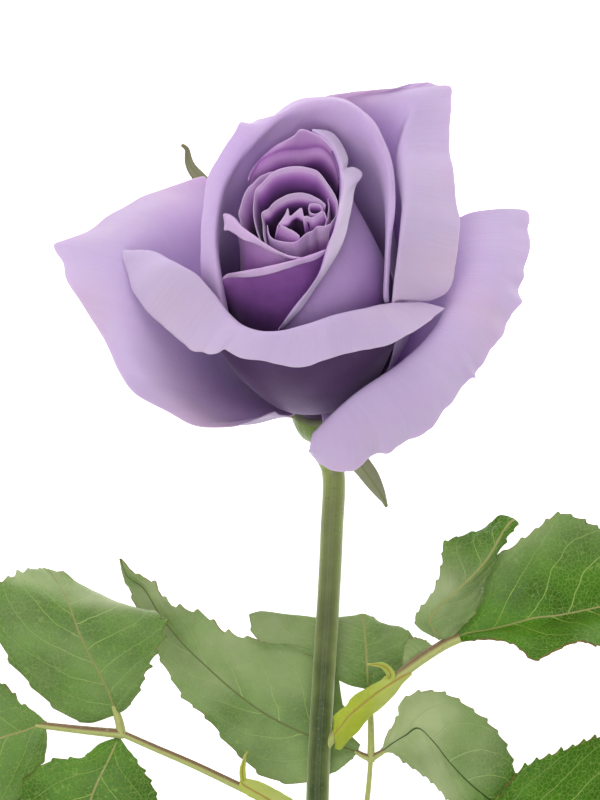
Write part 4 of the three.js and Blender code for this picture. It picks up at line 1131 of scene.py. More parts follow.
INNER_PETALS = (
    Petal("petal_wrap_right", (
        claw(80, -80),
        ((78, 11, 10), (40, 11.6, 10), (0, 12, 10), (-40, 12.2, 10), (-85, 12, 9.5)),
        ((74, 15.2, 28), (37, 15.8, 28), (0, 16.3, 28), (-38, 16.6, 28), (-76, 17, 27.5), (-107, 17.4, 26)),
        ((72, 14.6, 42), (36, 13.8, 40), (0, 13.4, 39), (-38, 14, 38.5), (-74, 15.4, 35), (-106, 17, 29)),
        (
            (78, 14.8, 52), (64, 13.9, 51.5), (52, 12.6, 50.5), (38, 10.4, 49.5), (4, 8.2, 48),
            (-20, 8.3, 47.6), (-42, 9.4, 46.6), (-62, 11.6, 44.6), (-80, 13.8, 40.6), (-95, 15.4, 36.4),
            (-106, 16.8, 32.4),
        ),
    ), columns=72, steps=38, ripple=0.06, ragged=0.15, seen=(
        (
            (-1.2, 54.2, 57), (0.8, 52.9, 56.4), (2.1, 51.5, 55.6), (3.3, 49.9, 55), (4.1, 47.8, 54.2),
            (4.6, 45, 53.4), (4.7, 42.1, 52.6), (4.4, 39.5, 52), (3.9, 37, 51.4), (3.3, 34.4, 50.6),
            (2.1, 31.3, 49.2), (0.4, 25.9, 45.6), (-1.7, 22.6, 42.4), (-4.2, 19.5, 39.3), (-6, 17.1, 36.8),
            (-8, 14.3, 33.4),
        ),
        (
            (-1.2, 54.6, 56.9), (0.8, 54.5, 56.2), (2.5, 54.1, 55.4), (3.7, 53.1, 54.4), (4.9, 51.3, 53.4),
            (6.2, 48.2, 52.8), (5.9, 47.2, 52.6), (5.7, 46.7, 52.5), (6.7, 47.1, 52.2), (8, 46.7, 51.6),
            (9, 45.8, 51.2), (8.8, 45, 51.1), (7.8, 43.7, 51.2), (7.2, 41.7, 51), (7, 39.7, 50.7),
            (6.3, 36.4, 49.8), (5.1, 32.1, 48.3), (3.6, 29, 46.5), (1.8, 26.2, 44.7), (-0.4, 23, 42.1),
            (-3.1, 19, 38.1), (-6.1, 15.6, 34.7), (-7.6, 14.4, 33.1),
        ),
    ), shades=(
        (0, 1), (0.33, 0.8), (0.5, 0.42), (0.6, 0.36), (0.68, 0.42), (0.76, 0.74), (0.82, 0.7), (0.84, 0.3),
        (0.855, 0.05), (1, 0),
    ), skin=PetalPart.THROAT),
    Petal("petal_front_inner", (
        claw(195, 305),
        ((192, 10.6, 9), (228, 10.8, 9), (266, 10.8, 9), (304, 10.4, 9)),
        ((190, 15.8, 24), (226, 15.2, 25), (264, 14.8, 26), (303, 14, 26)),
        (
            (192, 16.4, 29.5), (202, 15.2, 33.5), (220, 13.4, 38), (244, 12.2, 41), (270, 11.2, 42),
            (304, 10.2, 42.6),
        ),
    ), columns=48, steps=34, ripple=0.06, ragged=0.1, seen=(
        (
            (-20, 22.6, 33.6), (-19.3, 24, 35.9), (-17.9, 25.6, 38.6), (-15.5, 26, 40.4), (-11.6, 26.7, 43),
            (-7.5, 27.6, 45), (-3.5, 28.7, 46.4), (-0.6, 29.6, 47), (1.6, 30.5, 47.4),
        ),
        (
            (-20.4, 21.8, 32.6), (-19.8, 23.2, 34.8), (-18.7, 24.6, 37.2), (-17.3, 24.9, 38.2),
            (-13.9, 24.9, 40.4), (-10, 25.5, 42.6), (-6.3, 26.6, 44.2), (-2.6, 27.8, 45.4), (0.2, 28.8, 46),
            (1.8, 30.1, 46.8),
        ),
    ), shades=((0, 1), (0.4, 0.92), (0.5, 0.8), (0.6, 0.6), (0.7, 0.5), (0.78, 0.3), (0.82, 0.03), (1, 0)),
        skin=PetalPart.HEART),
    Petal("petal_left_inner", (
        claw(165, 290),
        ((162, 9.6, 9), (200, 9.8, 9), (245, 9.8, 9), (290, 9.6, 9)),
        ((162, 13.4, 28), (200, 12.8, 28), (245, 12.3, 28), (292, 11.8, 28)),
        ((164, 13.2, 41), (192, 10.6, 41.5), (245, 9.2, 41), (293, 9.2, 41)),
    ), columns=48, steps=34, ripple=0.06, ragged=0.1, seen=(
        (
            (-19, 37.5, 46.6), (-18.2, 37.6, 46.8), (-16.9, 36.8, 46.8), (-15.7, 35.4, 46.6),
            (-14.5, 34.4, 46.4), (-12.4, 32.9, 46.2), (-11, 31.9, 46.1), (-8.4, 30.3, 46),
            (-5.5, 29.1, 46.1), (-3, 28.8, 46.2),
        ),
        (
            (-18.6, 36, 45.6), (-18.8, 34.2, 45), (-17.9, 34.3, 45), (-16.9, 33.7, 45), (-14.9, 32.4, 45),
            (-13, 31.8, 45.1), (-10.4, 30.5, 45.1), (-7.5, 29.3, 45.2), (-4.7, 28.6, 45.4),
            (-3, 28.6, 45.8),
        ),
    ), shades=(
        (0, 1), (0.4, 0.9), (0.5, 0.6), (0.6, 0.32), (0.7, 0.2), (0.78, 0.12), (0.82, 0.02), (1, 0),
    ), skin=PetalPart.HEART),
    Petal("petal_crown", (
        claw(50, 130),
        ((52, 9.6, 9.5), (76, 10, 9.5), (104, 10, 9.5), (132, 9.8, 9.5)),
        ((52, 12.6, 30), (76, 13.4, 30), (104, 14, 30), (132, 14.2, 30)),
        ((52, 11.4, 43), (68, 12, 46), (84, 12.6, 47.5), (104, 13, 46.5), (132, 14, 42)),
    ), columns=48, steps=48, ripple=0.04, ragged=0.1, seen=(
        (
            (4.2, 43.4, 48.2), (3.2, 46, 50.4), (0.6, 48.8, 52.4), (-3.2, 48, 50.8), (-7.4, 47.8, 50.8),
            (-11.2, 46, 49.6), (-13.6, 43.6, 46),
        ),
        (
            (4.2, 44.6, 49.6), (3.8, 46.8, 51.6), (2.7, 49.4, 53.8), (0.6, 51.1, 54.6), (-3.2, 50.8, 53.5),
            (-7.4, 50.4, 53.4), (-11.4, 48.2, 51.9), (-12.6, 46.2, 49.9), (-13.9, 44, 46.6),
        ),
        (
            (4.5, 45.6, 50.8), (4.1, 47.8, 52.9), (3.4, 50, 55), (2.1, 51.7, 56.3), (0.6, 53.1, 56.8),
            (-1.2, 54, 57.6), (-2.8, 54.7, 58), (-3.9, 54.5, 57.8), (-4.3, 53.7, 57), (-5.5, 52.9, 56),
            (-8.4, 51.3, 54), (-10.8, 49.3, 52), (-12.4, 47.6, 50.2), (-13.7, 45.8, 48.6),
            (-14, 44.2, 47.4),
        ),
    ), shades=(
        # the darker line just below the rim is painted shade in the crease there
        (0, 1), (0.5, 1), (0.6, 0.74), (0.667, 0.34), (0.74, 0.14), (0.8, 0.26), (0.835, 0.52),
        (0.87, 0.32), (0.91, 0.16), (0.97, 0.1), (1, 0.02),
    ), skin=PetalPart.HEART),
    Petal("petal_left_back_inner", (
        claw(95, 170),
        ((96, 8.4, 9.5), (135, 8.8, 9.5), (176, 8.8, 9.5)),
        ((96, 11.2, 30), (135, 12, 30), (176, 12, 30)),
        ((98, 10.2, 45), (135, 11.8, 43.5), (174, 11.6, 40.5)),
        ((100, 10.4, 51.4), (124, 11.8, 51), (141, 13, 49), (157, 13, 46.6), (173, 12, 43.4)),
    ), columns=36, steps=26, fade=6.0, band=0.6, ripple=0.12, ragged=0.1, skin=PetalPart.HEART),
)

HEART_PETALS = (
    HeartPetal("heart_back", (
        (-11.4, 32.1, 45.2), (-12.2, 34.4, 46.2), (-12.8, 36.8, 47.4), (-13, 39.1, 48.6),
        (-12.8, 41.3, 49.8), (-12.4, 42.9, 50.8), (-11.6, 43.5, 51.4), (-10.8, 44.2, 51.8),
        (-10, 45.2, 52.4), (-8.4, 46.4, 53.4), (-6.3, 47, 54.2), (-4.3, 47.2, 54.6), (-2.2, 47, 54.4),
        (-0.2, 46.4, 53.8), (0.8, 45.4, 53.2), (2.1, 43.5, 52), (3.3, 41.5, 50.8), (3.9, 40.1, 50.2),
        (3.9, 38.6, 49.6), (3.5, 37, 49), (2.5, 35.8, 48.4),
    ), lean=1.1, band=1.0, fade=2.4),
    HeartPetal("heart_middle", (
        (-10.6, 31.9, 45.4), (-11, 34, 46.2), (-11.1, 36, 47), (-11.2, 38, 48), (-10, 38.6, 48.5),
        (-9.2, 39.7, 49), (-7.5, 40.9, 49.6), (-5.9, 41.6, 50), (-3.9, 41.9, 50.2), (-2.2, 41.7, 50.2),
        (-0.6, 41.1, 50), (0.8, 40.3, 49.6), (1.6, 39.5, 49.2),
    ), lean=1.3, band=1.5, fade=0.7),
    HeartPetal("heart_right_limb", ((2, 40.9, 49.4), (2.15, 39.1, 48.8), (1.9, 37, 48), (1.4, 35.4, 47.4)),
        lean=0.0, band=0.2, fade=1.4),
    HeartPetal("heart_front", (
        (-10.2, 35.6, 46.8), (-10, 34.2, 46.4), (-9.2, 32.9, 46), (-7.9, 32.3, 45.8), (-6.3, 32, 45.8),
        (-4.5, 32.1, 46), (-3, 33.3, 46.6), (-2.2, 34, 46.8), (-1, 34.4, 47), (-0.2, 35.2, 47.2),
        (1, 35.2, 47.4), (2.5, 35.8, 47.8), (3.5, 36.8, 48.2),
    ), lean=0.3, band=3.0, fade=5.0),
    HeartPetal("heart_bud", (
        (-8.1, 35, 46.8), (-7.9, 35.6, 47.2), (-6.8, 35.2, 47.1), (-5.6, 34.6, 46.9), (-4.4, 33.9, 46.7),
        (-3.7, 33.4, 46.5),
    ), lean=-0.8, band=0.2, fade=5.0, wall_drop=4.0),
    HeartPetal("heart_star", (
        (-7.9, 35.7, 47.4), (-7.2, 36.6, 47.9), (-6.5, 37.8, 48.6), (-6.05, 38.9, 49.3), (-5.9, 37.4, 48.4),
        (-5.4, 37.3, 48.3), (-4.4, 38.1, 48.8), (-3.3, 38.9, 49.4), (-3.1, 37.8, 48.7), (-3.1, 37.2, 48.3),
        (-2.2, 37.2, 48.3), (-1.2, 36.3, 47.8),
    ), lean=-0.2, wall_drop=3.0, hem=(
        (-7.9, 35.3, 46.9), (-6.9, 35.4, 47), (-6, 35.6, 47.1), (-5.2, 36.5, 47.5), (-4.2, 37, 47.7),
        (-3, 36.4, 47.4), (-2, 36.1, 47.3), (-1.2, 36.1, 47.3),
    )),
    HeartPetal("heart_curl", (
        (-1.9, 38.8, 49), (-1.6, 39.6, 49.4), (-0.7, 39.8, 49.5), (0.3, 39.6, 49.4), (0.8, 38.9, 49),
        (0.5, 38.1, 48.6), (-0.4, 37.7, 48.5), (-1.4, 37.9, 48.6), (-1.8, 38.4, 48.8),
    ), lean=0.0, band=0.5, fade=1.0, wall_drop=4.0),
    HeartPetal("heart_lobe", (
        (-3, 36.6, 48.2), (-2.4, 37.2, 48.5), (-1.2, 37, 48.6), (0, 37.6, 48.8), (1, 38.3, 49.1),
        (1.4, 37.4, 48.6),
    ), lean=-0.6, band=0.8, fade=2.2, wall_drop=4.0),
)


@dataclass(frozen=True)
class Shoot:
    """A round shoot along guide points.

    Attributes:
        name: The piece's name.
        path: Places in millimetres, from start to end.
        radii: Its radii at even places.
        sides: Mesh columns around it.
        steps: Mesh rows along it.
    """

    name: str
    path: Any
    radii: tuple[float, ...]
    sides: int = 28
    steps: int = 60

    def surface(self) -> GrownSheet:
        """Lays the shoot's places, with a quarter of the way round on top.

        Returns:
            The shoot as a net that closes on itself.
        """
        along = np.linspace(0.0, 1.0, self.steps + 1)
        across = np.linspace(0.0, 1.0, self.sides + 1)
        middle = evened(np.asarray(self.path, dtype=float), along)
        heading = unit(np.gradient(middle, axis=0))
        right = unit(np.cross(heading, np.array([0.0, 0.0, 1.0])))
        top = np.cross(right, heading)
        radius = np.interp(along, np.linspace(0.0, 1.0, len(self.radii)), self.radii)[:, None, None]
        turn = 2 * math.pi * across[None, :, None]
        spokes = np.cos(turn) * right[:, None] + np.sin(turn) * top[:, None]
        return GrownSheet(self.name, middle[:, None] + radius * spokes, across, along, {})

    def build(self, dress: Dress) -> None:
        """Builds and dresses the shoot."""
        dress.put_on(self.surface().tube(dress))


@dataclass(frozen=True)
class TurnedForm:
    """A turned form on the bloom's axis, from (radius, height) pairs.

    Attributes:
        name: The piece's name.
        profile: The pairs, from below upwards.
        lobes: How many soft ribs it has, and how deep they are in millimetres.
    """

    name: str
    profile: tuple[tuple[float, float], ...]
    lobes: tuple[int, float] = (0, 0.0)

    STEPS = 40  # mesh rows and columns
    POLE_RADIUS = 0.02  # the least radius

    def build(self, frame: BloomFrame, dress: Dress) -> None:
        """Builds and dresses the form.

        Args:
            frame: The bloom's axes.
            dress: What it wears.
        """
        even = np.linspace(0.0, 1.0, self.STEPS + 1)
        line = evened(np.array([(radius, height, 0.0) for radius, height in self.profile]), even)
        count, depth = self.lobes
        ribs = depth * np.cos(2 * math.pi * count * even)
        radius = np.maximum(line[:, :1], self.POLE_RADIUS) + ribs
        azimuth, height = np.broadcast_arrays(360.0 * even, line[:, 1:2])
        places = frame.places(np.stack([azimuth, radius, height], axis=-1))
        # full depth everywhere: on the packed core, which wears the heart skin, this paints near-black
        # shade
        net = GrownSheet(self.name, places, even, even, {DEPTH_SHADE: np.ones(radius.shape)})
        dress.put_on(net.tube(dress))


@dataclass(frozen=True)
class Bloom:
    """The bloom: petals from the outside in, around a packed core.

    Attributes:
        frame: The bloom's axes.
        skins: The finish of each part's petals.
        core: The form that fills the heart under its petals.
    """

    frame: BloomFrame
    skins: tuple[tuple[PetalPart, PetalSkin], ...]
    core: TurnedForm = TurnedForm(
        "packed_core",
        ((4.4, -1), (5.4, 1), (6, 5), (7.4, 12), (8.2, 22), (7.6, 32), (5.6, 38), (3, 41), (0.4, 41.6)),
    )

    def build(self) -> None:
        """Builds all petals and the core."""
        dresses = {part: Dress((skin.material(),), "bloom", Slot.PETAL) for part, skin in self.skins}
        small_petals = tuple(small.petal(self.frame) for small in HEART_PETALS)
        for petal in OUTER_PETALS + INNER_PETALS + small_petals:
            petal.build(self.frame, dresses[petal.skin])
        # the core is coloured near-black: painted shade deep in the bloom's heart
        self.core.build(self.frame, dresses[PetalPart.HEART])


@dataclass(frozen=True)
class Blade:
    """A slim plain blade that grows along a rib, such as a sepal.

    Attributes:
        name: The piece's name.
        rib: Guide points of its rib.
        half_width: In millimetres.
        up: The way that its face looks.
        fold: Degrees that each half rises from the rib.
        wave: How far its edges ripple, as a share of the half width.
        widest: Where it is widest, from base to tip.
        tone: How pale its painted sheen is.
        thickness: In millimetres.
    """

    name: str
    rib: Any
    half_width: float
    up: Point = (0.0, 0.0, 1.0)
    fold: float = 12.0
    wave: float = 0.1
    widest: float = 0.42
    tone: float = 0.3
    thickness: float = 0.4

    TIP_HALF_WIDTH = 0.15
    OUTLINE_POWER = 0.85  # under 1 fills the outline out
    RIPPLES = 3.0
    RIPPLE_SLANT = 1.3  # radians by which a ripple is late from rib to edge
    ROWS = 44
    COLUMNS = 14

    def surface(self) -> GrownSheet:
        """Lays the blade's places.

        Returns:
            The blade as a net of places.
        """
        along = np.linspace(0.0, 1.0, self.ROWS + 1)
        share = np.linspace(-1.0, 1.0, self.COLUMNS + 1)
        middle = evened(np.asarray(self.rib, dtype=float), along)
        heading = unit(np.gradient(middle, axis=0))
        sideways = unit(np.cross(heading, unit(np.array(self.up))))
        upward = np.cross(sideways, heading)
        bent = along ** (math.log(0.5) / math.log(self.widest))
        outline = np.maximum(np.sin(math.pi * bent), 0.0) ** self.OUTLINE_POWER
        reach = np.abs(share)[None] * np.maximum(self.TIP_HALF_WIDTH, self.half_width * outline)[:, None]
        turn = 2 * math.pi * self.RIPPLES * along[:, None] + self.RIPPLE_SLANT * share
        fold = math.radians(self.fold)
        out = np.sign(share) * reach * math.cos(fold)
        rise = reach * math.sin(fold) + self.wave * self.half_width * share ** 2 * np.sin(turn)
        places = middle[:, None] + out[..., None] * sideways[:, None] + rise[..., None] * upward[:, None]
        places[..., 2] = np.maximum(places[..., 2], TABLE_CLEARANCE)
        marks = leaf_marks(places, np.full(reach.shape, self.tone), 0.0)
        return GrownSheet(self.name, places, share / 2 + 0.5, along, marks)

    def build(self, dress: Dress) -> None:
        """Builds and dresses the blade."""
        self.surface().sheet(dress, self.thickness, 1)


@dataclass(frozen=True)
class Leaflet:
    """A leaflet through cross rows of guides, from its base to its tip.

    Attributes:
        name: The piece's name.
        rows: Each row's left edge, rib and right edge, as seen from its base.
        tone: How pale its painted sheen is, at its base and at its tip.
        change: Where the tone goes from the base's to the tip's.
        pale_left: How much paler its left edge is, with more painted sheen.
        crease_shade: How much painted shade darkens its midrib as a crease.
        teeth: Teeth along each edge, 0 for a plain one.
        left_teeth: Their depth in millimetres on the left edge, near the base and near the tip.
        right_teeth: The same on the right edge.
        crown: Millimetres by which each half bulges between rib and edge.
        wave: Millimetres by which its edges ripple.
        phase: Where the ripples and the uneven teeth start.
    """

    name: str
    rows: Rows
    tone: tuple[float, float] = (0.3, 0.3)
    change: tuple[float, float] = (0.4, 0.85)
    pale_left: float = 0.0
    crease_shade: float = 0.0
    teeth: int = 20
    left_teeth: tuple[float, float] = (0.6, 0.8)
    right_teeth: tuple[float, float] = (0.6, 0.8)
    crown: float = 0.5
    wave: float = 0.5
    phase: float = 0.0

    THICKNESS = 0.34
    COLUMNS = 28
    ROWS_PER_TOOTH = 8
    PLAIN_ROWS = 40
    EDGE_CROWDING = 1.35  # over 1 puts more columns near the edges
    FULL_CROWN = 12.0  # mm of width from which it bulges in full
    FULL_RELIEF = 6.0  # mm of width from which its relief and teeth are in full
    RIPPLES = 3.0
    RIPPLE_SLANT = 1.3  # radians by which a ripple is late from rib to edge
    GROOVE = 0.2  # mm that the midrib is sunk
    GROOVE_SHARPNESS = 9.0
    QUILT = 0.14  # mm that the blade bulges between its side veins
    PALE_EDGE = 6  # the power by which a paler edge fades inwards
    TOOTH_TIP = 0.8
    TOOTH_POWER = 2.4  # over 1 hollows the edge between two teeth
    TOOTH_REACH = 12  # the power by which a tooth fades from the edge inwards
    TOOTH_LEAN = 0.4  # how far teeth point to the leaflet's tip
    TOOTH_SUNK = 0.3  # how deep the notches are, as a share of a tooth
    UNEVEN_TEETH = 0.3
    TOOTH_TURN = 2.4  # radians from one tooth to the next in what makes them uneven
    TOOTHLESS = 0.07  # share of its length, from the base
    MIDRIB_RADII = (0.5, 0.42, 0.34, 0.26, 0.16)
    MIDRIB_DROP = 0.75  # mm from the blade down to the middle of the midrib

    def surface(self) -> GrownSheet:
        """Lays the leaflet's places.

        Returns:
            The leaflet as a net of places.
        """
        guides = on_sight_lines(self.rows)
        left, rib, right = guides[:, 0], guides[:, 1], guides[:, 2]
        facing_up = unit(np.cross(right - left, np.gradient(rib, axis=0)))
        width = np.linalg.norm(right - left, axis=1, keepdims=True)
        bulge = facing_up * self.crown * np.minimum(1.0, width / self.FULL_CROWN)
        net = np.stack([left, (left + rib) / 2 + bulge, rib, (rib + right) / 2 + bulge, right])

        even = np.linspace(-1.0, 1.0, self.COLUMNS + 1)
        share = np.sign(even) * (1 - (1 - np.abs(even)) ** self.EDGE_CROWDING)
        count = self.teeth * self.ROWS_PER_TOOTH if self.teeth else self.PLAIN_ROWS
        along = np.linspace(0.0, 1.0, count + 1)
        cross = through(net, np.repeat((share / 2 + 0.5)[:, None], len(guides), axis=1))
        reads = even_reads(rib, along)
        places = through(np.swapaxes(cross, 0, 1), np.repeat(reads[:, None], len(share), axis=1))

        off_rib = np.abs(share)[None]
        width = np.linalg.norm(places[:, -1] - places[:, 0], axis=1, keepdims=True)
        slimness = np.clip(width / self.FULL_RELIEF, 0.0, 1.0)
        turn = 2 * math.pi * self.RIPPLES * along[:, None] + self.phase + self.RIPPLE_SLANT * share
        vein = along[:, None] - VEIN_REACH * off_rib - VEIN_HOOK * off_rib ** VEIN_BEND
        groove = self.GROOVE * np.exp(-(off_rib * self.GROOVE_SHARPNESS) ** 2)
        rise = self.wave * off_rib ** 2 * np.sin(turn) - groove
        rise = rise + self.QUILT * np.abs(np.sin(math.pi * SIDE_VEINS * vein))
        places = places + facing(places) * (rise * slimness)[..., None]
        if self.teeth:
            places = places + self.toothing(places, share, along, slimness[:, 0])
        places[..., 2] = np.maximum(places[..., 2], TABLE_CLEARANCE)

        across = share / 2 + 0.5
        # painted sheen: paler towards the tip and the left edge, for reflections of the bright surroundings
        start, end = self.change
        change = np.clip((along[:, None] - start) / (end - start), 0.0, 1.0)
        paler = self.pale_left * (1 - across) ** self.PALE_EDGE
        tone = self.tone[0] + (self.tone[1] - self.tone[0]) * change + paler
        return GrownSheet(self.name, places, across, along, leaf_marks(places, tone, self.crease_shade))

    def toothing(
        self, places: np.ndarray, share: np.ndarray, along: np.ndarray, slimness: np.ndarray
    ) -> np.ndarray:
        """Gives the push that turns the plain edges into teeth.

        Args:
            places: The leaflet's places, as (rows, columns, 3).
            share: Each column's place, from -1 at the left edge to 1 at the right one.
            along: Each row's place from base to tip.
            slimness: Each row's width, as a share of a full one.

        Returns:
            A push in millimetres for each place.
        """
        cycle = (along * self.teeth) % 1.0
        tooth = np.where(
            cycle <= self.TOOTH_TIP,
            (cycle / self.TOOTH_TIP) ** self.TOOTH_POWER,
            (1 - cycle) / (1 - self.TOOTH_TIP),
        )
        number = np.floor(along * self.teeth)
        uneven = 1 + self.UNEVEN_TEETH * np.sin(number * self.TOOTH_TURN + self.phase)
        shape = (tooth * uneven - self.TOOTH_SUNK) * slimness * (along > self.TOOTHLESS)
        pushes = np.zeros_like(places)
        for edge, inner, depths in ((0, 3, self.left_teeth), (-1, -4, self.right_teeth)):
            tangent = unit(np.gradient(places[:, edge], axis=0))
            outward = places[:, edge] - places[:, inner]
            outward = unit(outward - np.sum(outward * tangent, axis=1, keepdims=True) * tangent)
            depth = np.interp(along, (0.0, 1.0), depths)
            side = np.maximum(0.0, share * (1 if edge else -1)) ** self.TOOTH_REACH
            push = (outward + self.TOOTH_LEAN * tangent) * (shape * depth)[:, None]
            pushes += side[None, :, None] * push[:, None]
        return pushes

    def build(self, dress: Dress) -> None:
        """Builds and dresses the leaflet."""
        self.surface().sheet(dress, self.THICKNESS, 0)

    def midrib(self) -> Shoot:
        """Gives the rib under the blade.

        Returns:
            The rib as a slim shoot.
        """
        path = on_sight_lines([row[1] for row in self.rows]) - np.array([0.0, 0.0, self.MIDRIB_DROP])
        path[:, 2] = np.maximum(path[:, 2], self.MIDRIB_RADII[0])
        return Shoot(f"{self.name}_midrib", path, self.MIDRIB_RADII, sides=10, steps=40)


@dataclass(frozen=True)
class Calyx:
    """The hip under the petals, with its five sepals.

    Attributes:
        frame: The bloom's axes.
        hip: The hip's form.
    """

    frame: BloomFrame
    hip: TurnedForm = TurnedForm("hip", (
        (0.3, -10), (2.1, -10), (2.6, -9.2), (4.2, -7.4), (5.3, -4.8), (5.6, -2.6), (5.4, -1.3),
        (0.3, -1.3),
    ), (10, 0.08))

    SEPAL_TURN = 12.0  # mm along the axis by which a sepal's face turns to the stem
    # For each sepal: its rib as (azimuth, radius, height), its half width and where it is widest.
    SEPALS = {
        "raised": ((
            (114, 3, -3), (114, 8, -2.8), (114, 12.6, 1.8), (116, 17.6, 11.4), (117.6, 25.5, 20),
            (120.4, 34, 27.4), (122.6, 39.8, 32), (123.9, 41.6, 34.4), (123.8, 42.4, 36.3),
            (123.7, 42.3, 38.1), (124.3, 42, 39.2), (126, 41.6, 40.8),
        ), 2.9, 0.45),
        "under_right": (((42, 3, -2.9), (42, 10, -1), (42, 18, 0.5), (42, 26, 3), (44, 33, 4)), 3.0, 0.3),
        "hanging": ((
            (-38, 3, -2.9), (-44, 7.5, -4.5), (-49, 10.6, -7), (-48.5, 11.9, -9.5), (-44.7, 13.3, -12.5),
            (-42.7, 14.6, -15), (-41, 15.6, -17.5), (-40.2, 16.3, -19.8),
        ), 2.1, 0.5),
        "front": (((-78, 3, -2.9), (-78, 8, -3.6), (-78, 11, -6), (-78, 11.6, -10)), 2.4, 0.3),
        "under_left": ((
            (178, 3, -2.9), (178, 9, -1.8), (178, 13.5, -1.2), (178, 17.5, -1.4), (178, 21, -2.2),
        ), 2.8, 0.3),
    }

    def sepal(self, name: str, guides: tuple[Point, ...], half_width: float, widest: float) -> Blade:
        """Gives one sepal as a plain blade.

        Args:
            name: Its name in the table.
            guides: Its rib, as (azimuth, radius, height).
            half_width: In millimetres.
            widest: Where it is widest, from base to tip.

        Returns:
            The sepal's blade.
        """
        azimuth, radius, _ = guides[2]
        middle, outside = self.frame.places(((azimuth, 0, 0), (azimuth, radius, -self.SEPAL_TURN)))
        return Blade(
            f"sepal_{name}", self.frame.places(guides), half_width, up=tuple(outside - middle), fold=-14,
            wave=0.08, widest=widest, thickness=0.5, tone=0.45,
        )

    def build(self, dress: Dress, blade_dress: Dress) -> None:
        """Builds the hip and the sepals.

        Args:
            dress: What the hip wears.
            blade_dress: What the sepals wear.
        """
        self.hip.build(self.frame, dress)
        for name, (guides, half_width, widest) in self.SEPALS.items():
            self.sepal(name, guides, half_width, widest).build(blade_dress)


@dataclass(frozen=True)
class Stem:
    """The stem, from under the hip to its slanting cut.

    Attributes:
        frame: The bloom's axes.
        radii: Its radii at even places.
        cut_end: A place on the cut.
        cut_slant: Degrees by which the cut is off square.
    """

    frame: BloomFrame
    radii: tuple[float, ...] = (2.3, 2.3, 2.6, 2.9)
    cut_end: Point = (3.0, -198.0, 3.0)
    cut_slant: float = 40.0

    UNDER_HIP = ((0, 0, -10.3), (0, 0, -12.4))  # (azimuth, radius, height)
    PATH = (
        (3, -13.6, 19.6), (2.8, -27, 16.4), (2.2, -40, 14.4), (1, -60, 12.4), (0, -80, 10.8),
        (-0.2, -110, 8.9), (0.4, -140, 7), (1.6, -170, 4.8), (3, -203, 2.6),
    )
    CUT_FACING = 0.98  # how nearly a face of the cut looks along it
    CUT_DEPTH = 1e-4  # metres within which it lies on the cut

    def build(self, dress: Dress) -> None:
        """Builds the stem and cuts its end on the slant.

        Args:
            dress: What it wears: the rind, then the pith.
        """
        path = np.concatenate([self.frame.places(self.UNDER_HIP), np.array(self.PATH)])
        piece = Shoot("stem_rind", path, self.radii, sides=40, steps=220).surface().tube(dress)
        slant = math.radians(self.cut_slant)
        normal = (-math.sin(slant), math.cos(slant), 0.0)
        place = in_place(np.array(self.cut_end))
        bpy.ops.object.mode_set(mode="EDIT")
        bpy.ops.mesh.select_all(action="SELECT")
        bpy.ops.mesh.bisect(plane_co=place, plane_no=normal, use_fill=True, clear_inner=True)
        bpy.ops.object.mode_set(mode="OBJECT")
        for face in piece.data.polygons:
            depth = abs(np.dot(np.array(face.center) - place, normal))
            if np.dot(face.normal, normal) < -self.CUT_FACING and depth < self.CUT_DEPTH:
                face.material_index = 1
        dress.put_on(piece)


@dataclass(frozen=True)
class CompoundLeaf:
    """A compound leaf: stalks, leaflets and stipules.

    Attributes:
        node: The CAD node that it replaces.
        stalks: Guide points of its stalks.
        leaflets: Its leaflets.
        stipules: The wings along the foot of its stalk.
        stipule_tips: Rib and half width of each stipule's free tip.
        stalk_radii: The stalks' radii, from their start to their end.
    """

    node: str
    stalks: tuple[tuple[Point, ...], ...]
    leaflets: tuple[Leaflet, ...]
    stipules: tuple[Leaflet, ...]
    stipule_tips: tuple[tuple[tuple[Point, ...], float], ...] = ()
    stalk_radii: tuple[float, ...] = (1.0, 0.85, 0.7)

    def build(
        self,
        blade_skins: tuple[Material, ...],
        stalk_skin: Material,
        rib_skin: Material,
        stipule_skin: Material,
    ) -> None:
        """Builds the whole leaf.

        Args:
            blade_skins: The leaflet's face and back.
            stalk_skin: The rind of the stalks.
            rib_skin: The rind of the ribs under the leaflets.
            stipule_skin: The skin of the stipules.
        """
        blades, shoots, ribs, wings = (
            Dress(skins, self.node, Slot.LEAF)
            for skins in (blade_skins, (stalk_skin,), (rib_skin,), (stipule_skin,))
        )
        for number, path in enumerate(self.stalks, 1):
            name = f"{self.node}_stalk_{number}"
            Shoot(name, on_sight_lines(path), self.stalk_radii, sides=20).build(shoots)
        for leaflet in self.leaflets:
            leaflet.build(blades)
            leaflet.midrib().build(ribs)
        for stipule in self.stipules:
            stipule.build(wings)
        for number, (rib, half_width) in enumerate(self.stipule_tips, 1):
            name = f"{self.node}_stipule_tip_{number}"
            Blade(name, on_sight_lines(rib), half_width, fold=25, widest=0.3).build(wings)


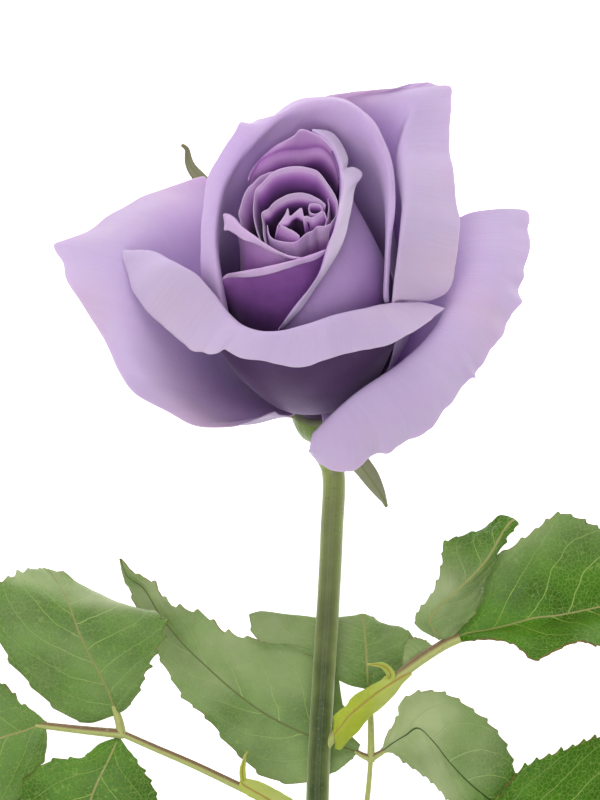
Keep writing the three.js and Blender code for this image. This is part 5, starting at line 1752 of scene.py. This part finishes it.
LEAVES = (
    CompoundLeaf("leaf_left", (
        (
            (0, -85, 10.6), (-5.4, -82, 13), (-11, -79.2, 14.8), (-17.2, -76.2, 16.2), (-25.2, -72.4, 17.6),
            (-32.6, -69.2, 18.6), (-39.4, -66.2, 19),
        ),
        ((-38.8, -66.4, 19), (-47, -65.6, 18.8), (-56.4, -64.5, 17.4)),
        ((-39.3, -66.4, 19), (-39.8, -63.8, 19.2), (-41, -60.6, 20)),
    ), (
        Leaflet("leaf_left_upper", (
            ((-40.6, -62.6, 19.6), (-40.2, -62.2, 19.8), (-39.8, -62, 19.6)),
            ((-46, -64, 18.8), (-41, -60.4, 20.6), (-38.2, -61, 20)),
            ((-52.2, -61.2, 18.8), (-42.2, -57.4, 21.6), (-35.8, -58, 21)),
            ((-59.2, -54.8, 19), (-44.5, -52.8, 22.6), (-34.4, -54, 21.8)),
            ((-63.8, -47.6, 19.4), (-46.4, -49.2, 23), (-32.8, -51, 22)),
            ((-65.6, -41.6, 19), (-48, -45.6, 22.6), (-31, -47.2, 21.4)),
            ((-63.6, -35.8, 16.5), (-49.3, -42, 21), (-30.8, -43.6, 19.6)),
            ((-60.4, -35, 14.4), (-50.8, -38.4, 17.4), (-36.2, -41.2, 16.4)),
            ((-57.6, -33.4, 12.6), (-52.4, -35.8, 14.2), (-44.4, -38.2, 13.4)),
            ((-55.2, -33.4, 12), (-54.4, -33.4, 12), (-53, -34, 12)),
        ), tone=(0.22, 0.8), change=(0.6, 0.78), teeth=11, left_teeth=(0.3, 1.9), right_teeth=(0.2, 2.2),
            wave=0.4, crease_shade=0.2, phase=0.6),
        Leaflet("leaf_left_lower", (
            ((-39.6, -67.2, 18.6), (-40, -67.4, 18.6), (-40.4, -67.2, 18.6)),
            ((-38.2, -69.6, 18.6), (-40.8, -69.2, 19), (-43.6, -68.2, 18.4)),
            ((-35.8, -72.4, 18.8), (-42, -71.8, 19.2), (-47.2, -71, 18.2)),
            ((-33.2, -76.4, 18.2), (-44, -75.8, 19), (-53.6, -71.8, 17.4)),
            ((-31.4, -82, 17), (-45.6, -80, 18.2), (-59, -76.4, 16)),
            ((-32, -90, 15.2), (-47, -87, 16.6), (-61, -84, 14)),
            ((-35, -97, 13.4), (-48, -95, 14.6), (-60, -93, 12.4)),
            ((-41, -104, 11.2), (-48.8, -102, 12), (-56, -101, 10.8)),
            ((-48.8, -108.6, 9), (-49.4, -109, 9), (-50, -108.4, 9)),
        ), tone=(0.05, 0.1), phase=2.1),
        Leaflet("leaf_left_end", (
            ((-54.6, -64.6, 17.8), (-54.2, -64.3, 17.8), (-54.4, -64, 17.8)),
            ((-54.2, -68.4, 17.2), (-56.4, -64.8, 17.8), (-56.4, -62.2, 18.2)),
            ((-55.6, -73.4, 16.2), (-59, -65.8, 17.6), (-59.6, -60, 18.4)),
            ((-59, -78.6, 15.4), (-62.4, -66.8, 17.4), (-62.4, -56.6, 18.4)),
            ((-64, -83, 14.4), (-67, -68.4, 16.8), (-68, -55, 17.6)),
            ((-71, -84, 13), (-74, -70, 15.6), (-75.6, -56.6, 16)),
            ((-80, -82, 11.4), (-82, -71.2, 13.4), (-84, -60, 13.4)),
            ((-89, -77, 9.4), (-90, -71.8, 10.4), (-91.6, -66, 10.4)),
            ((-96.6, -72.4, 7), (-97, -72, 7), (-97, -71.4, 7)),
        ), tone=(0.2, 0.2), phase=4),
    ), (
        Leaflet("leaf_left_stipule", (
            ((-1.4, -88, 11.8), (-1, -85.6, 12), (-1.4, -83, 12)),
            ((-6, -84.6, 13.6), (-5.6, -82.4, 14), (-5, -79.6, 13.8)),
            ((-11.2, -80.4, 15.6), (-10, -79.4, 15.9), (-9.4, -77, 15.6)),
            ((-14, -78.6, 16.4), (-12.8, -77.8, 16.8), (-12, -75.8, 16.6)),
            ((-15.6, -77.4, 16.8), (-15, -76.4, 17.2), (-14.6, -75.2, 17)),
            ((-15.6, -75.8, 17.2), (-15.4, -75.4, 17.2), (-15.2, -75, 17.2)),
        ), tone=(0.5, 0.5), teeth=0, crown=0.1, wave=0.3),
    ), ((((-14.8, -76.4, 16.8), (-15.1, -74, 17.8), (-14.8, -71.8, 18.4), (-14.2, -69.8, 18.8)), 0.7),)),
    CompoundLeaf("leaf_back", (
        ((0, -106, 9), (4, -99, 8), (8, -89, 7.5), (9.8, -79.6, 7.4), (10.6, -71, 7.6)),
        ((10.6, -72, 7.6), (10.6, -66, 7.9), (10.5, -62.6, 8), (10, -57, 8.1)),
        ((10.6, -71.3, 7.6), (9, -70.7, 7.6), (7.4, -69.8, 7.6)),
        ((10.6, -71.3, 7.6), (12, -70.5, 7.8), (13.4, -69.7, 8)),
    ), (
        Leaflet("leaf_back_left", (
            ((6.8, -71.4, 7.6), (8, -70, 7.5), (8.4, -68.6, 7.6)),
            ((3.6, -73.8, 7.4), (4.4, -68.8, 7), (5.4, -65.2, 7.4)),
            ((-2.6, -76.2, 7), (0, -67.4, 6.4), (5, -59.8, 7)),
            ((-9.6, -75.4, 6.8), (-4.4, -65.6, 6), (2.4, -52.4, 6.8)),
            ((-16.4, -70.2, 6.2), (-10.2, -62.6, 5.4), (-3, -49.2, 6.6)),
            ((-22.2, -63.2, 5.6), (-16, -58.5, 4.8), (-10, -47.6, 6.2)),
            ((-27, -59, 5), (-22, -53.2, 4), (-17.8, -46.2, 5.4)),
            ((-30.6, -53, 4), (-26.8, -48.6, 3.2), (-22.8, -42.4, 4.4)),
            ((-34.4, -46, 2.8), (-31.4, -42.9, 2.2), (-29.4, -40.4, 3.2)),
            ((-37.4, -38.2, 1.6), (-35, -37.2, 1.2), (-33.4, -35.8, 2)),
            ((-38.8, -35.2, 1), (-38.2, -34.8, 0.8), (-36.6, -34.2, 1.2)),
            ((-39.7, -31.4, 0.5), (-39.5, -31.3, 0.5), (-39.3, -31.4, 0.5)),
        ), tone=(0.4, 0.9), crease_shade=0.7, teeth=16, left_teeth=(0.5, 0.6), right_teeth=(0.5, 1.3), phase=1),
        Leaflet("leaf_back_right", (
            ((13, -69.4, 7.8), (12.8, -69.8, 7.8), (13.2, -70.2, 7.8)),
            ((13.6, -67, 8.4), (15, -68.2, 8.6), (14.8, -70.2, 8.2)),
            ((15.6, -63.2, 8.8), (17.6, -66.6, 9.6), (17.2, -71.8, 8.8)),
            ((16.4, -60.2, 8.8), (20, -65.2, 11), (20, -73.6, 9.4)),
            ((20.4, -58, 8.6), (22.8, -67.6, 11), (22.8, -76.2, 9.6)),
            ((25.8, -58.4, 8.2), (25.6, -71.2, 10.4), (26, -79.6, 9.2)),
            ((31.6, -62, 7.8), (28.4, -74.4, 9.4), (28.8, -82, 8.2)),
            ((36.2, -66.6, 7.2), (31.6, -77.4, 8.4), (31.2, -83.2, 7.4)),
            ((39.2, -73, 6.6), (35.2, -80.2, 7.4), (34.4, -83.6, 6.8)),
            ((39.6, -79.6, 6.4), (38.8, -83.2, 6.6), (37.6, -84.4, 6.4)),
            ((40.9, -85.6, 6), (40.8, -85.8, 6), (40.7, -86, 6)),
        ), tone=(0.7, 0.0), crease_shade=1.0, teeth=18, left_teeth=(0.4, 0.8), right_teeth=(0.4, 0.5), phase=2.7),
        Leaflet("leaf_back_end", (
            ((9.6, -57.4, 8), (10, -57.2, 8), (10.4, -57.2, 8)),
            ((5.4, -56.2, 8.6), (10, -55.6, 8.6), (12, -56, 8.4)),
            ((-0.6, -51.2, 8.8), (9.8, -53.2, 9), (16, -54, 8.4)),
            ((-7.6, -48.2, 8.8), (9.7, -50.6, 9), (19.2, -51, 8.2)),
            ((-12.4, -47.2, 8.6), (9.5, -48, 8.6), (19.8, -48.4, 7.8)),
            ((-13.4, -42.2, 8), (9.3, -45.8, 7.6), (17.6, -45.8, 6.8)),
            ((-3.6, -43.8, 6.8), (9.1, -43.8, 6.4), (13.4, -44.4, 6)),
            ((7.6, -43, 5.4), (9, -42.4, 5.4), (10.4, -43, 5.4)),
        ), tone=(0.35, 0.5), teeth=12, left_teeth=(0.3, 0.6), right_teeth=(0.3, 0.4), wave=0.3, phase=5.2),
        Leaflet("leaf_back_low_right", (
            ((7.4, -91, 7.4), (6.6, -91.6, 7.2), (7.2, -92.4, 7.2)),
            ((16, -86, 7.8), (13.5, -90.8, 7), (15, -97, 7.2)),
            ((27, -81, 9), (22, -89.6, 7.2), (25, -100.5, 6.6)),
            ((35, -79.6, 10.4), (30, -88.4, 7.8), (34, -101, 6)),
            ((41, -73.2, 10.6), (38, -86.9, 7.8), (43, -99.6, 5)),
            ((49, -69.4, 9.4), (46.5, -85, 6.8), (51, -96.6, 4)),
            ((57, -66.8, 7.6), (55, -82.8, 5), (58, -92.6, 3)),
            ((64, -68.6, 5), (62, -80.8, 2.8), (64, -87.6, 1.8)),
            ((69.8, -78.6, 0.6), (70, -79, 0.5), (69.8, -79.4, 0.6)),
        ), tone=(0.0, 0.0), teeth=26, left_teeth=(0.8, 0.9), phase=3.3),
        Leaflet("leaf_back_low_left", (
            ((6.4, -92.4, 7.2), (6.3, -92, 7.2), (6.2, -91.6, 7.2)),
            ((1, -99, 6), (-1, -93.2, 5.4), (-3, -86.6, 6)),
            ((-6, -104.6, 5.2), (-8, -95.6, 4.2), (-12, -86, 5)),
            ((-14, -109, 4.6), (-16, -99, 3.6), (-21, -88.6, 4.4)),
            ((-24, -112.6, 3.6), (-26, -104, 2.8), (-30, -95, 3.4)),
            ((-34, -114.6, 2.2), (-36, -109, 1.6), (-38, -103, 2)),
            ((-44.6, -114, 0.5), (-44.8, -113.6, 0.5), (-44.9, -113.2, 0.5)),
        ), phase=0.2),
    ), (
        Leaflet("leaf_back_stipule", (
            ((0, -104.4, 9), (1, -103.6, 9), (2, -103, 9)),
            ((2.4, -98, 8.8), (4.4, -96.4, 8.4), (6, -96, 8.8)),
            ((6, -87.4, 8.6), (7.4, -87, 8.4), (8.6, -87, 8.6)),
        ), teeth=0, crown=0.1, wave=0.2),
    ), stalk_radii=(0.8, 0.7, 0.6, 0.5)),
    CompoundLeaf("leaf_right", ((
        (1.2, -69.6, 11.6), (3.4, -66.4, 13.2), (6.6, -62.2, 15.2), (14.6, -56, 18.2), (20.4, -51.6, 19.8),
        (25.4, -48.4, 20.6), (28.4, -47, 20.9),
    ),), (
        Leaflet("leaf_right_folded", (
            ((22.6, -46.4, 20.6), (24.4, -47.3, 21), (27.2, -47.2, 20.8)),
            ((19.4, -43.4, 22.2), (22.4, -43.6, 24.6), (29, -45, 22.4)),
            ((20.4, -41.2, 23.6), (24.4, -40.8, 26.8), (31, -42.2, 23.4)),
            ((23.6, -37.8, 24.6), (27.4, -38, 28), (32.6, -39.8, 24.2)),
            ((24.6, -33, 24.2), (30.6, -35, 28), (33.2, -36, 24.6)),
            ((25.2, -28.6, 23), (33.8, -31.4, 27), (35, -31.8, 25)),
            ((29.2, -27, 22.6), (36.2, -27.4, 25.6), (37, -29, 24.4)),
            ((33.6, -24.8, 22), (37.8, -24.8, 24), (38.4, -26, 23)),
            ((36.4, -22.6, 21.4), (39.2, -23.6, 22.6), (39.6, -24.6, 22)),
            ((39.8, -24, 21.6), (40, -24.2, 21.6), (40, -24.6, 21.6)),
        ), tone=(0.75, 0.0), teeth=13, left_teeth=(0.4, 0.7), right_teeth=(0.3, 0.7), crown=0.2, phase=1.4),
        Leaflet("leaf_right_end", (
            ((26.4, -47.2, 20.6), (26.6, -47.4, 20.6), (27.2, -48, 20.8)),
            ((29, -44, 20.2), (29.6, -46.4, 21.2), (30.4, -47.8, 23)),
            ((32.4, -38.8, 20.4), (34, -45.6, 21.8), (35, -47.9, 27)),
            ((33.4, -34.6, 20.8), (37.6, -44.8, 22.2), (38.8, -48.4, 30.4)),
            ((35, -31.4, 21.4), (40.4, -44, 22.4), (41.2, -49.8, 33)),
            ((39.6, -28.4, 22), (43, -43.3, 22.6), (43.2, -51.3, 35)),
            ((44.6, -24.6, 21.6), (47.2, -42.8, 22.4), (47.2, -50.2, 35)),
            ((48.4, -22.2, 20.4), (51, -42.2, 22), (51.8, -48.4, 34)),
            ((53.4, -24, 19), (55.4, -41.2, 21), (55.8, -48.6, 32)),
            ((59.6, -27, 18), (60.6, -40.4, 19.4), (61.4, -48, 28)),
            ((66.4, -31.4, 15.8), (67, -39.8, 16.6), (68, -45, 21)),
            ((73.6, -38.8, 13.4), (74, -39.2, 13.4), (74, -39.6, 13.6)),
        ), tone=(0.0, 0.0), pale_left=0.4, teeth=22, left_teeth=(0.4, 0.8), right_teeth=(0.3, 0.6),
            phase=3.8),
        Leaflet("leaf_right_small", (
            ((23.8, -50.2, 20), (23.8, -49.8, 20.2), (23.6, -49.4, 20)),
            ((21.6, -51.4, 18.6), (21.4, -50, 19), (20.8, -47.4, 18.4)),
            ((19.6, -53.2, 17), (19, -51.2, 17.4), (18, -47.6, 16.8)),
            ((17.4, -53.6, 16.4), (17.2, -53.2, 16.4), (16.8, -52.6, 16.4)),
        ), tone=(0.7, 0.7), teeth=8, left_teeth=(0.3, 0.3), right_teeth=(0.3, 0.3), crown=0.2, wave=0.15),
    ), (
        Leaflet("leaf_right_stipule", (
            ((3, -64.4, 13.4), (3.2, -66.6, 14.4), (3.6, -69, 12.4)),
            ((3.6, -62.6, 14.6), (4.8, -64.6, 15.4), (4.6, -69.4, 12.8)),
            ((5.2, -61.1, 15.6), (6.4, -62.6, 16.4), (6.3, -67.4, 14)),
            ((7.2, -58.8, 16.8), (9, -60.4, 17.4), (8.6, -65, 15.2)),
            ((10, -57.1, 18), (12, -58, 18.6), (11.4, -62, 16.6)),
            ((12.8, -55.6, 18.8), (14.4, -56.4, 19.4), (15, -58.8, 18)),
            ((16, -54.8, 19.4), (16.6, -55, 19.8), (17.2, -56, 19)),
            ((18.4, -53.6, 19.8), (18.4, -53.9, 19.9), (18.8, -54.4, 19.6)),
        ), tone=(0.1, 0.5), teeth=0, crown=0.2, wave=0.35),
    ), (
        (
            (
                (12.6, -56.4, 18.4), (14.5, -54.9, 19.6), (14, -53.5, 20.8), (12.6, -52.6, 21.4),
                (9.8, -52.5, 21.8),
            ),
            1.0,
        ),
    ), stalk_radii=(0.9, 1.05, 1.1, 1.15)),
)


@dataclass(frozen=True)
class Studio:
    """A pale table, soft light from beyond the bloom, and a camera that looks straight down.

    Attributes:
        photo_centre: Place under the middle of the picture.
        bloom_height: Height of the plane that the camera's distance is taken from.
        distance: From the camera to that plane.
        lens: Focal length on the default sensor.
        table_size: Side of the table top.
        air: How strong the light from all around is.
        table_glow: How strong the table's own soft glow is, which keeps it white under the petals.
    """

    photo_centre: tuple[float, float] = (7.9, 68.6)
    bloom_height: float = 30.0
    distance: float = 900.0
    lens: float = 202.5
    table_size: float = 6000.0
    air: float = 0.32
    table_glow: float = 0.9

    FAR_CLIP = 20.0  # metres
    TABLE_GRAIN = 0.5  # mm

    def camera(self) -> None:
        """Adds the camera and makes it the scene's."""
        spot = (*self.photo_centre, self.bloom_height + self.distance)
        bpy.ops.object.camera_add(location=[value * MM for value in spot], rotation=(0.0, 0.0, 0.0))
        camera = bpy.context.object
        camera.name = "photo_camera"
        camera.data.lens = self.lens
        camera.data.clip_end = self.FAR_CLIP
        bpy.context.scene.camera = camera

    def light(self, name: str, spot: Point, aim: Point, size: float, power: float) -> None:
        """Adds a square soft light.

        Args:
            name: Its name.
            spot: Where it hangs, in metres.
            aim: The place it points at, in metres.
            size: Its side, in metres.
            power: In watts.
        """
        bpy.ops.object.light_add(type="AREA", location=spot)
        lamp = bpy.context.object
        lamp.name = name
        lamp.data.size = size
        lamp.data.energy = power
        heading = np.array(spot) - np.array(aim)
        tilt = math.atan2(math.hypot(heading[0], heading[1]), heading[2])
        lamp.rotation_euler = (tilt, 0.0, math.atan2(heading[1], heading[0]) + math.pi / 2)

    def table(self) -> None:
        """Adds the table top, a matt white board with a fine even grain."""
        bpy.ops.mesh.primitive_plane_add(size=self.table_size * MM, location=(0.0, 0.0, 0.0))
        board = bpy.context.object
        board.name = "table_top"
        material, tree = new_material("matt_white_board")
        place = add_node(tree, "TexCoord").outputs["Object"]
        grain = add_node(tree, "TexNoise", None, {"Vector": place, "Scale": 1 / (self.TABLE_GRAIN * MM)})
        tone = add_node(tree, "Mix", MIXED, {0: grain, 6: linear("#f7f7f7"), 7: linear("#fbfbfb")})
        skin = add_node(tree, "BsdfPrincipled", None, {
            "Base Color": tone, "Roughness": 0.9, "Specular IOR Level": 0.1,
            "Emission Color": linear("#ffffff"), "Emission Strength": self.table_glow,
        })
        add_node(tree, "OutputMaterial", None, {"Surface": skin})
        board.data.materials.append(material)

    def build(self) -> None:
        """Builds the table, the lights and the camera."""
        scene = bpy.context.scene
        scene.view_settings.view_transform = "Standard"
        world = bpy.data.worlds.new("studio_air")
        world.use_nodes = True
        light_inputs = world.node_tree.nodes["Background"].inputs
        light_inputs["Color"].default_value = linear("#ffffff")
        light_inputs["Strength"].default_value = self.air
        scene.world = world
        self.light("key_softbox", (-0.1, 1.2, 1.3), (0.0, 0.1, 0.03), 1.4, 12.0)
        self.light("front_softbox", (-0.3, -0.35, 1.7), (0.0, 0.05, 0.03), 1.2, 12.5)
        self.table()
        self.camera()


def main() -> None:
    """Builds the dressed rose and its studio."""
    logging.basicConfig(level=logging.INFO, format="%(name)s: %(message)s")
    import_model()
    bpy.ops.object.select_all(action="DESELECT")
    Studio().build()
    frame = BloomFrame()
    Bloom(frame, (
        (PetalPart.OUTER, PetalSkin(
            "rose_petal_outer", rim="#cbbad9", light="#cebddb", middle="#bea8d2", deep="#83609a",
            heart="#3c2048",
        )),
        (PetalPart.THROAT, PetalSkin(
            "rose_petal_throat", rim="#dacbe8", light="#d0b8e2", middle="#b28fc9", deep="#7f4a9c",
            heart="#3a1448", blush_weight=0.2,
        )),
        (PetalPart.HEART, PetalSkin(
            "rose_petal_heart", rim="#d4b8e0", light="#cb9fd6", middle="#a868ba", deep="#673a7e",
            heart="#240d2a", blush_weight=0.15, veins_across=60.0, blotch=5.0,
        )),
    )).build()
    leaf_face, leaf_back, stipule_skin, sepal_skin = (skin.material() for skin in (
        LeafSkin(
            LeafSide.FACE, blade="#3c6a0a", sunlit="#528618", veil="#b8c490", vein="#a3bf5c",
            midrib="#a8a565",
        ),
        LeafSkin(
            LeafSide.BACK, blade="#7f9a68", sunlit="#8aa574", veil="#9aae88", vein="#a9bb83",
            midrib="#a8b878", roughness=0.6, net_strength=0.2,
        ),
        LeafSkin(
            LeafSide.STIPULE, blade="#a8b722", sunlit="#bac83c", veil="#cdd29a", vein="#bcc95c",
            midrib="#b39a4c", waxed_vein="#ccd4a0", margin="#b9c660", roughness=0.4, net_strength=0.1,
            rib_width=0.35,
        ),
        LeafSkin(
            LeafSide.SEPAL, blade="#6e7a40", sunlit="#848c50", veil="#bcbaa6", vein="#8d9462",
            midrib="#8d9462", margin="#8a7b5e", roughness=0.62, net_strength=0.2,
        ),
    ))
    stem_rind, stalk_rind, rib_rind, hip_rind = (
        BarkSkin(name, shaded, sunny, painted_lift, speckle, sun_span).material()
        for name, shaded, sunny, painted_lift, speckle, sun_span in (
            ("rose_stem_rind", "#9aa860", "#32441f", "#767b54", "#6f7a54", (-0.1, 0.5)),
            ("rose_stalk_rind", "#bcc474", "#86694a", "#86694a", "#a89e78", (0.3, 0.8)),
            ("rose_rib_rind", "#a8b878", "#a8a565", "#a8a565", "#b4be84", (-0.1, 0.5)),
            ("rose_hip_rind", "#6f853c", "#767c5c", "#767c5c", "#8c9a66", (-0.1, 0.5)),
        )
    )
    pith = PithSkin().material()
    Calyx(frame).build(
        Dress((hip_rind,), "calyx", Slot.CALYX), Dress((sepal_skin, sepal_skin), "calyx", Slot.CALYX)
    )
    Stem(frame).build(Dress((stem_rind, pith), "stem", Slot.STEM))
    for leaf in LEAVES:
        leaf.build((leaf_face, leaf_back), stalk_rind, rib_rind, stipule_skin)


if __name__ == "__main__":
    main()
